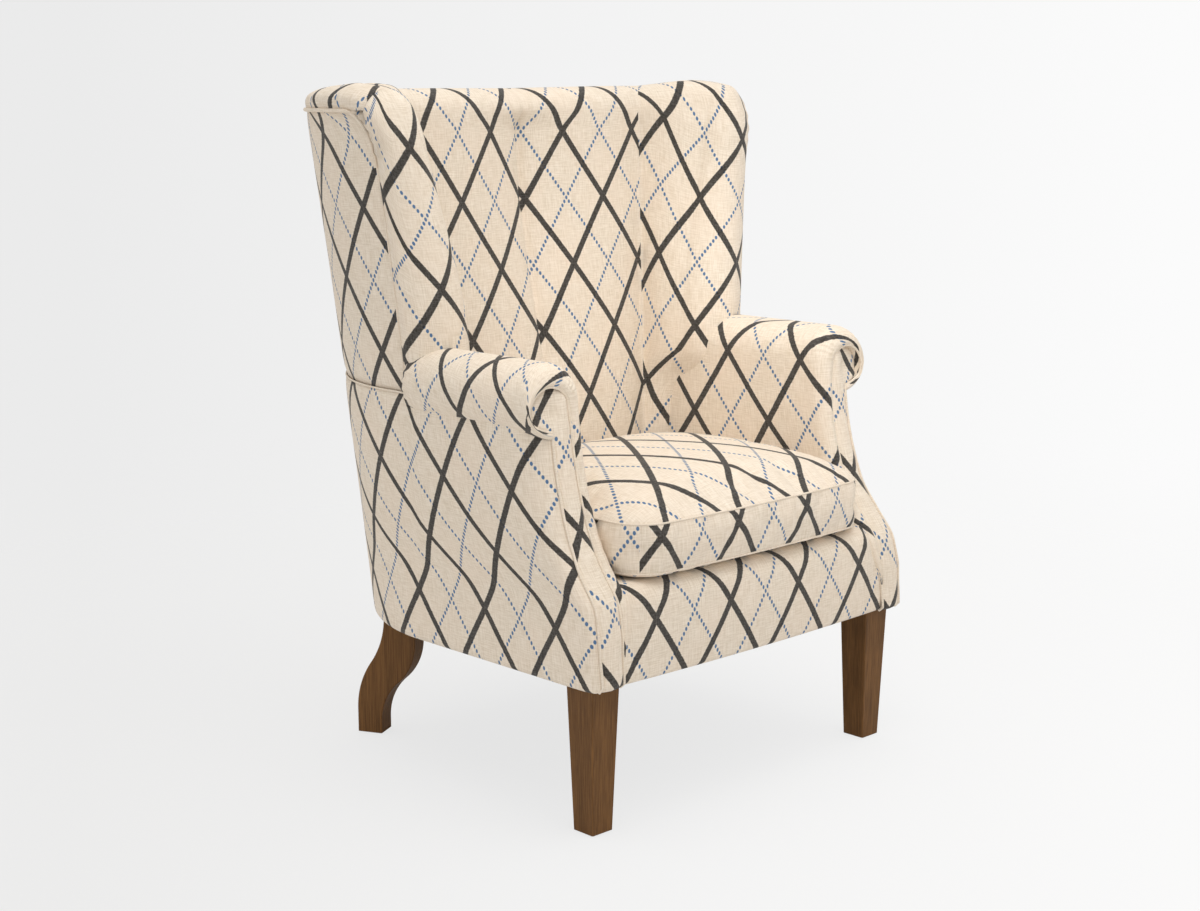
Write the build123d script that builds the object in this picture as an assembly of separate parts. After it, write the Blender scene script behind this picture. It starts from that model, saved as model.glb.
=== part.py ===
"""Upholstered barrel-back wing chair with scroll arms, a loose seat cushion and four wooden legs.

Millimetres, +Z up. The chair faces -Y and its right-hand side (seen from the front) is +X.
It is laid out with Y = 0 on the front legs' axis, and moved at the end so that the origin is at the
middle of its footprint, on the floor.
"""
from build123d import *
from math import acos, cos, pi, radians, sin, tan
import os

# Legs
LEG_HEIGHT = 218.0              # floor to the underside of the seat frame
FRONT_LEG_INSET = 37.0          # a front leg's axis stands this far in from the side
FRONT_LEG_TOP = 53.5            # square section at the top
FRONT_LEG_FOOT = 39.5           # square section at the floor
REAR_LEG_INSET = 108.0          # a rear leg's axis at its top, in from the side
REAR_LEG_BEYOND = 171.0         # the same axis, behind the end of the straight side
REAR_LEG_TURN = 27.5            # degrees that a rear leg is turned outwards
REAR_LEG_TOP = 54.0             # depth of the rear leg at the top
REAR_LEG_FOOT = 42.0            # depth of the rear leg at the floor
REAR_LEG_THICKNESS = 38.0
REAR_LEG_SWEEP = 55.0           # how far the rear leg's foot is swept back
REAR_LEG_UPRIGHT = 42.0         # height of the upright stretch at each end of the swept leg
REAR_LEG_LAG = 20.0             # the S of its front edge lies this much lower
GLIDE_DIAMETER = 22.0
GLIDE_HEIGHT = 2.0              # how far the glide stands below the wood
GLIDE_NAIL_DIAMETER = 3.0
GLIDE_NAIL_LENGTH = 14.0
BOLT_DIAMETER = 8.0             # hanger bolt that holds a leg to its corner block
BOLT_IN_LEG = 45.0
BOLT_IN_FRAME = 40.0
REAR_BOLT_IN = 4.0              # rear bolts stand in from the rear legs' axes
BOLT_CLEARANCE = 0.05
LEG_CHAMFER = 1.5

# Barrel-shaped outside: horizontal sections at three heights
BASE_HALF_WIDTH = 338.0
ARM_FLARE = 12.0                # how much further out each side stands at the arms
TOP_FLARE = 55.0                # and at the top
ARM_LEVEL = 600.0               # height of the middle section
BORDER_SEAM = 1000.0            # height of the seam under the top border
SIDE_AHEAD = 56.0               # the straight side ends this far ahead of the inside back
SIDE_RADIUS = 290.0             # first half of each rear corner
REAR_RADIUS = 105.0             # second half of each rear corner
SIDE_LEAN = 52.0                # the straight side ends this much further back at the arms
TOP_LEAN_BACK = 77.0            # and at the top
RAKE = 8.1                      # degrees that the back posts lean
COVER = 3.0                     # outside cover with its lining
BACK_SEAM_IN = 88.0             # the outside back's seam stands this far in from the side
SIDE_SEAM_DROP = 15.0           # seam of outside arm and outside wing, below the scroll's axis

# Wings
WING_ROLL_RADIUS = 50.0
WING_SEAM_AHEAD = 55.0          # the roll's axis stands this far ahead of the inside back
WING_LEAN = 2.8                 # degrees that the roll axis leans back
WING_WEDGE = 45.0               # thickness of the wing's inner padding at the back corner
TONGUE_FORWARD = 35.0           # the wing's foot comes forward this far between arm and back

# Inside back: where its middle crease stands, and the corner beside each wing
DECK_HEIGHT = 356.0
SEAT_DEPTH = 400.0              # front legs' axis to the crease, at the deck
LUMBAR_RISE = 204.0             # deck to the hollow of the back
SHOULDER_RISE = 220.0           # hollow to the shoulders
LUMBAR_LEAN = 16.0              # how far the crease leans back at these two heights
SHOULDER_LEAN = 65.0
TOP_LEAN = 87.0                 # and at the border seam
CORNER_IN = 35.0                # the corner at the deck, in from the inside arm
CORNER_FLARE = 24.0             # how much further out it stands at the top
CORNER_BEHIND = 17.0            # the corner stands behind the crease at the deck
CORNER_FORWARD = 25.0           # and ahead of it at the top
PILLOW_CROWN = 14.0             # how far each half of the back swells
BACK_PAD_DEPTH = 72.0

# Top border
BORDER_HEIGHT = 46.0            # above its seam, at the front of the wings
BORDER_SLOPE = 3.3              # degrees that the top falls towards the back
BORDER_OVERHANG = 5.0
BORDER_EDGE = 12.0              # narrowing at half height
BORDER_TOP_INSET = 42.0         # narrowing at the top

# Arms
ARM_THICKNESS = 80.0            # outside to inside face, at the seat
ARM_PAD = 25.0                  # thickness of the inside arm's padding
SCROLL_RADIUS = 53.0
SCROLL_HEIGHT = 607.0           # height of the scroll's axis
SCROLL_UNDER = 50.0             # degrees that the roll wraps below its outermost line
ARM_FRONT = -41.0               # front face of the arm at the seat rail
ARM_SET_BACK = 101.0            # how far the scroll stands behind that face
ARM_SWEEP_RADIUS = 489.0        # hollow part of the arm's front
ARM_TOE_RADIUS = 114.0          # round part below it
ARM_PAD_TUCK = 30.0             # the inside arm's padding goes this far below the deck
FACING_SCROLL_RADIUS = 31.0
FACING_SCROLL_OUT = 44.0        # scroll centre from the facing's inner edge
FACING_THICKNESS = 10.0
FACING_INSET = 2.0
FACING_GAP = 0.5                # between the facing and the outside arm's cover

# Wooden seat frame
RAIL_THICKNESS = 28.0
RAIL_GAP = 2.0                  # between the rails and the inside of the cover
FRONT_RAIL_INSET = 7.0          # the front rail's face, behind the arm's front
REAR_RAIL_BEHIND = 68.0         # rear face of the straight rear rail, behind the crease at the deck
BLOCK_SIZE = 74.0
BLOCK_HEIGHT = 45.0
STUMP_WIDTH = 46.0
STUMP_DEPTH = 48.0
STUMP_GAP = 0.5                 # between the facing and the stump behind it
ARM_RAIL_HEIGHT = 34.0
POST_WIDTH = 32.0
POST_DEPTH = 42.0
POST_IN = 21.0                  # outside of a back post, in from the inside arm
CREST_RAIL_HEIGHT = 56.0
STAY_RAIL_HEIGHT = 42.0
STAY_RAIL_RISE = 36.0           # deck to the underside of the stay rail
WING_POST_WIDTH = 26.0
WING_POST_DEPTH = 44.0
FORMER_THICKNESS = 18.0
FORMER_WIDTH = 40.0
FORMER_SKIN = 14.0              # padding between the former and the outside of the wing

# Seat and back suspension
STRAP_WIDTH = 50.0
STRAP_THICKNESS = 2.5
LONG_STRAP_COUNT = 5
CROSS_STRAP_COUNT = 4
BACK_STRAP_COUNT = 5
STRAP_BEARING = 24.0            # how far a strap laps onto its rail
BURLAP = 2.0                    # cloth between the webbing and the back's padding
BURLAP_IN = 13.0                # edge of that cloth, in from the inside arm
SLAT_SPACING = 240.0            # between the two slats behind the outside back
SLAT_WIDTH = 40.0
SLAT_THICKNESS = 16.0

# Deck, front border and underside
DECK_PAD = 36.5
DECK_GAP = 0.3                  # between the deck and the padding behind it
BORDER_PROUD = 4.0              # the front border's outer face, ahead of the arm's front
BORDER_BOW = 8.0                # how far it bows forward in the middle
BORDER_ROLL_RADIUS = 34.0
BORDER_LAP = 107.0              # outer face to the seam of the border's cover with the deck
DUST_COVER = 1.5
DUST_COVER_INSET = 14.0

# Loose seat cushion
CUSHION_SIDE_GAP = 0.5          # to the inside arms
CUSHION_BACK_GAP = 4.0          # to the inside back
CUSHION_OVERHANG = 5.0          # the front stands out this far over the border's ends
CUSHION_LIFT = 1.0              # lowest point above the deck
CUSHION_BORDER = 71.0           # between its two seams
CUSHION_CROWN = 46.0
CUSHION_BELLY = 9.0             # crown of the underside
CUSHION_DRAW = 5.0              # how far the sides pull in between the corners
CUSHION_COVER = 3.0
CUSHION_CORNER = 26.0
BOXING_SWELL = 2.5              # how far the border swells between its seams
ZIP_WIDTH = 12.0
ZIP_END = 60.0                  # the zip stops this far from each side

HALF = sin(radians(45))

# Places that follow from these sizes
FAR = 2 * BORDER_SEAM                                   # beyond the chair, for cutting
ARM_INSIDE = BASE_HALF_WIDTH - ARM_THICKNESS            # half the width between the arms
STUMP_INSIDE = ARM_INSIDE + ARM_PAD                     # also the facing's inner edge
SCROLL_X = ARM_INSIDE + SCROLL_RADIUS                   # axis of the arm's roll
ROLL_UNDERSIDE = SCROLL_HEIGHT - SCROLL_RADIUS * sin(radians(SCROLL_UNDER))
SIDE_SEAM = SCROLL_HEIGHT - SIDE_SEAM_DROP
SIDE_STRAIGHT = SEAT_DEPTH - SIDE_AHEAD                 # where the straight side ends at the base
WING_SEAM_BACK = SEAT_DEPTH - WING_SEAM_AHEAD           # roll axis at the side seam
BACK_SEAM = BASE_HALF_WIDTH - BACK_SEAM_IN
FRAME_Z = LEG_HEIGHT + DUST_COVER                       # underside of the wooden frame
STRAP_TOP = DECK_HEIGHT - COVER - DECK_PAD
RAIL_TOP = STRAP_TOP - 2 * STRAP_THICKNESS
RAIL_OUTSIDE = BASE_HALF_WIDTH - COVER - RAIL_GAP
RAIL_INSIDE = RAIL_OUTSIDE - RAIL_THICKNESS
FRONT_RAIL_FACE = ARM_FRONT + FRONT_RAIL_INSET
REAR_RAIL_BACK = SEAT_DEPTH + REAR_RAIL_BEHIND
STUMP_FRONT = FACING_INSET + FACING_THICKNESS + STUMP_GAP
STUMP_BACK = ARM_FRONT + STUMP_FRONT + STUMP_DEPTH      # rear face of the stump at the rail
POST_OUTSIDE = ARM_INSIDE - POST_IN
POST_TOP = BORDER_SEAM - 2 * FORMER_THICKNESS
STAY_RAIL_SILL = DECK_HEIGHT + STAY_RAIL_RISE
LAYER = BACK_PAD_DEPTH + BURLAP + STRAP_THICKNESS       # depth of everything in front of the posts
ARM_PAD_SILL = DECK_HEIGHT - ARM_PAD_TUCK
BORDER_FRONT = ARM_FRONT - BORDER_PROUD
BORDER_RETURN = BORDER_FRONT + BORDER_LAP
CUSHION_HALF_WIDTH = ARM_INSIDE - CUSHION_SIDE_GAP - BOXING_SWELL
CUSHION_FRONT = BORDER_FRONT - CUSHION_OVERHANG
CUSHION_SEAM_LOW = DECK_HEIGHT + CUSHION_BELLY + CUSHION_LIFT
CUSHION_SEAM_HIGH = CUSHION_SEAM_LOW + CUSHION_BORDER


def trace(start, *moves):
    """A face inside a closed outline. A move is a point, for a straight run, or (via, point) for an arc."""
    edges = []
    here = start
    for move in moves:
        if isinstance(move[0], tuple):
            via, there = move
            edges.append(ThreePointArc(here, via, there))
        else:
            there = move
            edges.append(Line(here, there))
        here = there
    if (Vector(here) - Vector(start)).length > 1e-6:
        edges.append(Line(here, start))
    return Face(Wire(edges))


def box(x, y, z):
    """A block between two limits on each axis."""
    size = [b - a for a, b in (x, y, z)]
    return Pos(x[0], y[0], z[0]) * Box(*size, align=(Align.MIN, Align.MIN, Align.MIN))


def across(face_points, x):
    """An outline of (y, z) moves, pushed across the chair between two values of x."""
    def place(move):
        return tuple(place(p) for p in move) if isinstance(move[0], tuple) else (x[0], *move)
    return extrude(trace(*[place(m) for m in face_points]), x[1] - x[0], dir=(1, 0, 0))


def along(face_points, y):
    """An outline of (x, z) moves, pushed along the chair between two values of y."""
    def place(move):
        return tuple(place(p) for p in move) if isinstance(move[0], tuple) else (move[0], y[0], move[1])
    return extrude(trace(*[place(m) for m in face_points]), y[1] - y[0], dir=(0, 1, 0))


def upwards(face_points, z):
    """An outline of (x, y) moves, pushed up between two heights."""
    def place(move):
        return tuple(place(p) for p in move) if isinstance(move[0], tuple) else (*move, z[0])
    return extrude(trace(*[place(m) for m in face_points]), z[1] - z[0], dir=(0, 0, 1))


def other_side(shape):
    """The same piece on the other side of the chair."""
    return mirror(shape, about=Plane.YZ)


def through(points, value):
    """The parabola or cubic through (place, size) points, at a place between them."""
    total = 0.0
    for here, size in points:
        share = 1.0
        for there, _ in points:
            if there != here:
                share *= (value - there) / (here - there)
        total += size * share
    return total


# The barrel

def half_width(z):
    flare = (LEG_HEIGHT, 0.0), (ARM_LEVEL, ARM_FLARE), (BORDER_SEAM, TOP_FLARE)
    return BASE_HALF_WIDTH + through(flare, z)


def straight_end(z):
    lean = (LEG_HEIGHT, 0.0), (ARM_LEVEL, SIDE_LEAN), (BORDER_SEAM, TOP_LEAN_BACK)
    return SIDE_STRAIGHT + through(lean, z)


def barrel_right(z, inset):
    """Moves round the right half of the barrel, from its straight side to the middle of its back."""
    width = half_width(z)
    side = (width - SIDE_RADIUS, straight_end(z))
    turn = SIDE_RADIUS - inset
    knee = (side[0] + turn * HALF, side[1] + turn * HALF)
    centre = (knee[0] - (REAR_RADIUS - inset) * HALF, knee[1] - (REAR_RADIUS - inset) * HALF)
    small = REAR_RADIUS - inset
    eighth = radians(22.5)
    return [
        (width - inset, side[1]),
        ((side[0] + turn * cos(eighth), side[1] + turn * sin(eighth)), knee),
        ((centre[0] + small * sin(eighth), centre[1] + small * cos(eighth)), (centre[0], centre[1] + small)),
    ]


def flip(move):
    return tuple(flip(p) for p in move) if isinstance(move[0], tuple) else (-move[0], move[1])


def backwards(start, moves):
    """The same outline walked from its other end."""
    points = [start] + [m[1] if isinstance(m[0], tuple) else m for m in moves]
    result = []
    for index in range(len(moves) - 1, -1, -1):
        move = moves[index]
        result.append((move[0], points[index]) if isinstance(move[0], tuple) else points[index])
    return result


def both_halves(right_moves):
    """A closed outline from moves on the right half that start and end near the middle."""
    first = right_moves[0]
    left = backwards(flip(first), [flip(m) for m in right_moves[1:]])
    last = right_moves[-1]
    end = last[1] if isinstance(last[0], tuple) else last
    return [*right_moves, flip(end), *left]


def lifted(moves, lift):
    """Gives each (x, y) of an outline its height."""
    return [tuple(lift(*p) for p in m) if isinstance(m[0], tuple) else lift(*m) for m in moves]


def level(z):
    return lambda x, y: (x, y, z)


def upright(x):
    return lambda y, z: (x, y, z)


def barrel(inset):
    """The solid barrel inside the outside covers, from the seat frame to the border seam."""
    sections = []
    for z in (LEG_HEIGHT, ARM_LEVEL, BORDER_SEAM):
        right = barrel_right(z, inset)
        moves = [(right[0][0], 2 * ARM_FRONT), *right]
        sections.append(trace(*lifted(both_halves(moves), level(z))))
    return loft(sections)


# The arm's curved front, as a line in the side view

def arm_front(shift):
    """Moves up the arm's front, from the underside to above the scroll, moved back by shift."""
    reach = ARM_SWEEP_RADIUS + ARM_TOE_RADIUS
    angle = acos(1 - ARM_SET_BACK / reach)
    toe, top = ARM_FRONT + shift, SCROLL_HEIGHT
    low = top - reach * sin(angle)
    toe_centre, sweep_centre = (toe + ARM_TOE_RADIUS, low), (toe + ARM_SET_BACK - ARM_SWEEP_RADIUS, top)

    def on_toe(a):
        return (toe_centre[0] - ARM_TOE_RADIUS * cos(a), toe_centre[1] + ARM_TOE_RADIUS * sin(a))

    def on_sweep(a):
        return (sweep_centre[0] + ARM_SWEEP_RADIUS * cos(a), sweep_centre[1] - ARM_SWEEP_RADIUS * sin(a))
    return [
        (toe, LEG_HEIGHT),
        (toe, low),
        (on_toe(angle / 2), on_toe(angle)),
        (on_sweep(angle / 2), on_sweep(0)),
        (toe + ARM_SET_BACK, BORDER_SEAM),
    ]


def behind_front(shift, x, back):
    """Everything behind the arm's front line moved back by shift, as far as a value of y."""
    return across([*arm_front(shift), (back, BORDER_SEAM), (back, LEG_HEIGHT)], x)


# Wings and inside back

def roll_axis(z):
    """Where the axis of the right wing's front roll is at a height."""
    return half_width(z) - WING_ROLL_RADIUS, WING_SEAM_BACK + (z - SIDE_SEAM) * tan(radians(WING_LEAN))


CREASE_LINE = (
    (DECK_HEIGHT, SEAT_DEPTH),
    (DECK_HEIGHT + LUMBAR_RISE, SEAT_DEPTH + LUMBAR_LEAN),
    (DECK_HEIGHT + LUMBAR_RISE + SHOULDER_RISE, SEAT_DEPTH + SHOULDER_LEAN),
    (BORDER_SEAM, SEAT_DEPTH + TOP_LEAN),
)


def crease(z):
    return through(CREASE_LINE, z)


def corner(z):
    """Where the inside back meets the right wing at a height."""
    rise = (z - DECK_HEIGHT) / (BORDER_SEAM - DECK_HEIGHT)
    low, high = SEAT_DEPTH + CORNER_BEHIND, SEAT_DEPTH + TOP_LEAN - CORNER_FORWARD
    return ARM_INSIDE - CORNER_IN + rise * CORNER_FLARE, low + rise * (high - low)


def pillow_front(z):
    """The middle of each half of the inside back, where it swells most."""
    return (corner(z)[1] + crease(z)) / 2 - PILLOW_CROWN


def inside_right(z, inset):
    """Moves from the crease in the middle of the back, round the right wing's roll, to its outer seam."""
    x, y = corner(z)
    axis_x, axis_y = roll_axis(z)
    radius = WING_ROLL_RADIUS - inset
    middle = ((x + inset) / 2, pillow_front(z) + inset)
    return [
        (0.0, crease(z) + inset),
        (middle, (x + inset, y + inset)),
        (axis_x - radius, axis_y),
        ((axis_x - radius * HALF, axis_y - radius * HALF), (axis_x, axis_y - radius)),
        ((axis_x + radius * HALF, axis_y - radius * HALF), (axis_x + radius, axis_y)),
    ]


def wing_section(z):
    """The right wing's padding at a height: the roll and the wedge behind its inner face."""
    _, (_, inner), *roll = inside_right(z, 0.0)
    axis_x, axis_y = roll_axis(z)
    outer = axis_x + WING_ROLL_RADIUS
    lining = (outer - COVER - BOLT_CLEARANCE, axis_y)
    heel = (inner[0] + WING_WEDGE, inner[1] + WING_WEDGE / 2)
    return trace(*lifted([inner, *roll, lining, heel], level(z)))


def wing_tongue():
    """The strip of wing padding that runs down between the inside arm and the inside back."""
    bend = SCROLL_HEIGHT - 2 * SCROLL_RADIUS
    fronts = (
        (DECK_HEIGHT, corner(DECK_HEIGHT)[1] - TONGUE_FORWARD),
        (bend, corner(bend)[1] - TONGUE_FORWARD),
        (SIDE_SEAM, roll_axis(SIDE_SEAM)[1]),
    )
    sections = []
    for z, front in fronts:
        x, y = corner(z)
        edge = ARM_INSIDE - BOLT_CLEARANCE
        rear = crease(z) + BACK_PAD_DEPTH / 2
        sections.append(trace(*lifted([(x, y), (edge, front), (edge, rear), (x, rear)], level(z))))
    return loft(sections, ruled=True)


def back_pad():
    sections = []
    for z, stand in CREASE_LINE:
        x, y = corner(z)
        middle, edge = inside_right(z, 0.0)[1]
        rear = stand + BACK_PAD_DEPTH + BURLAP
        right = [(0.0, stand), (middle, edge), (x, rear)]
        moves = [right[0], right[1], right[2], flip(right[2]), flip(edge), (flip(middle), right[0])]
        sections.append(trace(*lifted(moves, level(z))))
    return loft(sections) - back_layer(BACK_PAD_DEPTH, 2 * BACK_PAD_DEPTH, ARM_INSIDE)


def top_border():
    """The rounded border over the wings and the back, level below and sloping on top."""
    front = roll_axis(BORDER_SEAM)[1] - WING_ROLL_RADIUS
    slope = tan(radians(BORDER_SLOPE))

    def section(rise, inset, slopes):
        right = inside_right(BORDER_SEAM, inset) + barrel_right(BORDER_SEAM, inset)
        moves = both_halves(right)[:-1]

        def lift(x, y):
            return x, y, BORDER_SEAM + rise - slopes * slope * (y - front)
        closed = lifted(moves, lift)
        last_via = lift(*flip(right[1][0]))
        closed.append((last_via, lift(*right[0])))
        return trace(*closed)
    sections = [
        section(0.0, 0.0, 0.0),
        section(BORDER_HEIGHT * 0.25, -BORDER_OVERHANG, 0.25),
        section(BORDER_HEIGHT * 0.7, BORDER_EDGE, 0.7),
        section(BORDER_HEIGHT, BORDER_TOP_INSET, 1.0),
    ]
    return loft(sections)


def back_layer(near, far, half):
    """A layer behind the inside back, between two depths measured from its crease line."""
    sections = []
    for z, stand in CREASE_LINE:
        corners = [(-half, stand + near), (half, stand + near), (half, stand + far), (-half, stand + far)]
        sections.append(trace(*lifted(corners, level(z))))
    return loft(sections)


def barrel_band(z, low, high, near, far):
    """A curved board round the back of the barrel, between two insets from the outside at a height."""
    outer, inner = barrel_right(z, near), barrel_right(z, far)
    outside = both_halves(outer)
    inside = [flip(inner[0]), *[flip(m) for m in inner[1:]], inner[-1][1], *backwards(inner[0], inner[1:])]
    return upwards([*outside, *inside], (low, high))


def post_rear(z):
    return SEAT_DEPTH + LAYER + POST_DEPTH + (z - DECK_HEIGHT) * tan(radians(RAKE))


# Legs

def front_leg():
    """Tapered on all four sides."""
    foot = Pos(0, 0, GLIDE_HEIGHT) * Rectangle(FRONT_LEG_FOOT, FRONT_LEG_FOOT)
    top = Pos(0, 0, FRAME_Z) * Rectangle(FRONT_LEG_TOP, FRONT_LEG_TOP)
    leg = loft([foot.face(), top.face()], ruled=True)
    uprights = [e for e in leg.edges() if e.length > LEG_HEIGHT / 2]
    return chamfer(uprights, LEG_CHAMFER)


def ogee(start, end):
    """Two arcs that carry an upright edge sideways and leave it upright again."""
    run, fall = end[0] - start[0], end[1] - start[1]
    radius = (run * run + fall * fall) / (4 * abs(run))
    turn = acos(1 - abs(run) / (2 * radius))
    side = radius * (1 - cos(turn / 2)) * (1 if run > 0 else -1)
    drop = radius * sin(turn / 2) * (1 if fall > 0 else -1)
    middle = ((start[0] + end[0]) / 2, (start[1] + end[1]) / 2)
    return [((start[0] + side, start[1] + drop), middle), ((end[0] - side, end[1] - drop), end)]


def rear_leg():
    """Cut from a plank in a long S, swept away from the seat."""
    top, foot = FRAME_Z, GLIDE_HEIGHT
    high, low = FRAME_Z - REAR_LEG_UPRIGHT, REAR_LEG_UPRIGHT
    back_top, back_foot = REAR_LEG_TOP / 2, REAR_LEG_SWEEP + REAR_LEG_FOOT / 2
    front_top, front_foot = -REAR_LEG_TOP / 2, REAR_LEG_SWEEP - REAR_LEG_FOOT / 2
    back_high, front_high, front_low = high + REAR_LEG_LAG, high - REAR_LEG_LAG, low - REAR_LEG_LAG
    moves = [(back_top, top), (back_top, back_high), *ogee((back_top, back_high), (back_foot, low))]
    moves += [(back_foot, foot), (front_foot, foot), (front_foot, front_low)]
    moves += ogee((front_foot, front_low), (front_top, front_high))
    moves += [(front_top, top)]
    half = REAR_LEG_THICKNESS / 2
    leg = along(moves, (-half, half))
    ends = REAR_LEG_UPRIGHT / 4
    middles = [(e, e.center()) for e in leg.edges()]
    arrises = [e for e, at in middles if foot + ends < at.Z < top - ends and abs(at.Y) > half / 2]
    return chamfer(arrises, LEG_CHAMFER)


def glide():
    nail = Pos(0, 0, GLIDE_HEIGHT) * Cylinder(
        GLIDE_NAIL_DIAMETER / 2, GLIDE_NAIL_LENGTH, align=(Align.CENTER, Align.CENTER, Align.MIN))
    disc = Cylinder(GLIDE_DIAMETER / 2, GLIDE_HEIGHT, align=(Align.CENTER, Align.CENTER, Align.MIN))
    return disc + nail


def pin(radius, low, high):
    return Pos(0, 0, low) * Cylinder(radius, high - low, align=(Align.CENTER, Align.CENTER, Align.MIN))


FRONT_LEG_PLACE = Pos(BASE_HALF_WIDTH - FRONT_LEG_INSET, 0, 0)
REAR_LEG_TOP_PLACE = Pos(BASE_HALF_WIDTH - REAR_LEG_INSET, SIDE_STRAIGHT + REAR_LEG_BEYOND, 0)
REAR_LEG_PLACE = REAR_LEG_TOP_PLACE * Rot(0, 0, 90 - REAR_LEG_TURN)
REAR_BOLT_PLACE = REAR_LEG_PLACE * Pos(-REAR_BOLT_IN, 0, 0)
REAR_FOOT_PLACE = REAR_LEG_PLACE * Pos(REAR_LEG_SWEEP, 0, 0)


def legs(pieces):
    bolt_low, bolt_high = FRAME_Z - BOLT_IN_LEG, FRAME_Z + BOLT_IN_FRAME
    room = BOLT_CLEARANCE
    bolt_hole = pin(BOLT_DIAMETER / 2 + room, bolt_low - room, bolt_high + room)
    nail_end = GLIDE_HEIGHT + GLIDE_NAIL_LENGTH
    nail_hole = pin(GLIDE_NAIL_DIAMETER / 2 + room, 0, nail_end + room)
    front = FRONT_LEG_PLACE * (front_leg() - bolt_hole - nail_hole)
    rear = REAR_LEG_PLACE * rear_leg() - REAR_BOLT_PLACE * bolt_hole - REAR_FOOT_PLACE * nail_hole
    bolt = pin(BOLT_DIAMETER / 2, bolt_low, bolt_high)
    bolts = [FRONT_LEG_PLACE * bolt, REAR_BOLT_PLACE * bolt]
    bolts += [other_side(b) for b in bolts]
    pairs = {
        "front_leg": front,
        "rear_leg": rear,
        "front_glide": FRONT_LEG_PLACE * glide(),
        "rear_glide": REAR_FOOT_PLACE * glide(),
    }
    add_pairs(pieces, pairs)
    pieces["leg_bolts"] = Compound(bolts)
    holes = FRONT_LEG_PLACE * bolt_hole + REAR_BOLT_PLACE * bolt_hole
    return holes + other_side(holes)


def add_pairs(pieces, pairs):
    """Adds each piece of the right side, and its twin on the left."""
    for name, shape in pairs.items():
        pieces[name + "_right"] = shape
        pieces[name + "_left"] = other_side(shape)


# Wooden frame

def seat_frame(pieces, bolt_holes):
    inside_plan = [(0.0, FRONT_RAIL_FACE), (RAIL_INSIDE, FRONT_RAIL_FACE)]
    inside_plan += barrel_right(LEG_HEIGHT, BASE_HALF_WIDTH - RAIL_INSIDE)
    plan_end = inside_plan[-1][1]
    inside = upwards([*inside_plan, (0.0, plan_end[1])], (FRAME_Z, RAIL_TOP))
    inside = inside + other_side(inside)
    upright_faces = (FRAME_Z, RAIL_TOP)
    rail_back = FRONT_RAIL_FACE + RAIL_THICKNESS
    pieces["front_seat_rail"] = box(
        (-STUMP_INSIDE, STUMP_INSIDE), (FRONT_RAIL_FACE, rail_back), upright_faces)
    rear = box((-FAR, FAR), (REAR_RAIL_BACK - RAIL_THICKNESS, REAR_RAIL_BACK), upright_faces)
    pieces["rear_seat_rail"] = rear & inside
    under_cover = barrel(COVER + RAIL_GAP / 2)
    side = box((RAIL_INSIDE, RAIL_OUTSIDE), (STUMP_BACK, SIDE_STRAIGHT), upright_faces)
    side = side & behind_front(STUMP_FRONT + STUMP_DEPTH, (0, FAR), FAR) & under_cover
    add_pairs(pieces, {"side_seat_rail": side})
    base_rail = barrel_band(
        LEG_HEIGHT, FRAME_Z, RAIL_TOP, BASE_HALF_WIDTH - RAIL_OUTSIDE, BASE_HALF_WIDTH - RAIL_INSIDE)
    pieces["curved_base_rail"] = base_rail & under_cover
    brace = [(STUMP_INSIDE - BLOCK_SIZE, rail_back), (STUMP_INSIDE, rail_back), (STUMP_INSIDE, STUMP_BACK)]
    brace += [(RAIL_INSIDE, STUMP_BACK), (RAIL_INSIDE, STUMP_BACK + BLOCK_SIZE)]
    front_block = upwards(brace, (FRAME_Z, FRAME_Z + BLOCK_HEIGHT))
    post_line = POST_OUTSIDE + BOLT_CLEARANCE
    rear_block = REAR_LEG_PLACE * Pos(0, 0, FRAME_Z) * Box(
        BLOCK_SIZE, BLOCK_SIZE, BLOCK_HEIGHT, align=(Align.CENTER, Align.CENTER, Align.MIN))
    rear_block = (rear_block & inside) - box((0, post_line), (0, post_rear(RAIL_TOP)), (0, FAR)) - bolt_holes
    rear_block = rear_block & box((0, FAR), (REAR_RAIL_BACK, FAR), (0, FAR))
    blocks = [front_block, rear_block]
    pieces["corner_blocks"] = Compound(blocks + [other_side(b) for b in blocks])


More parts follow.
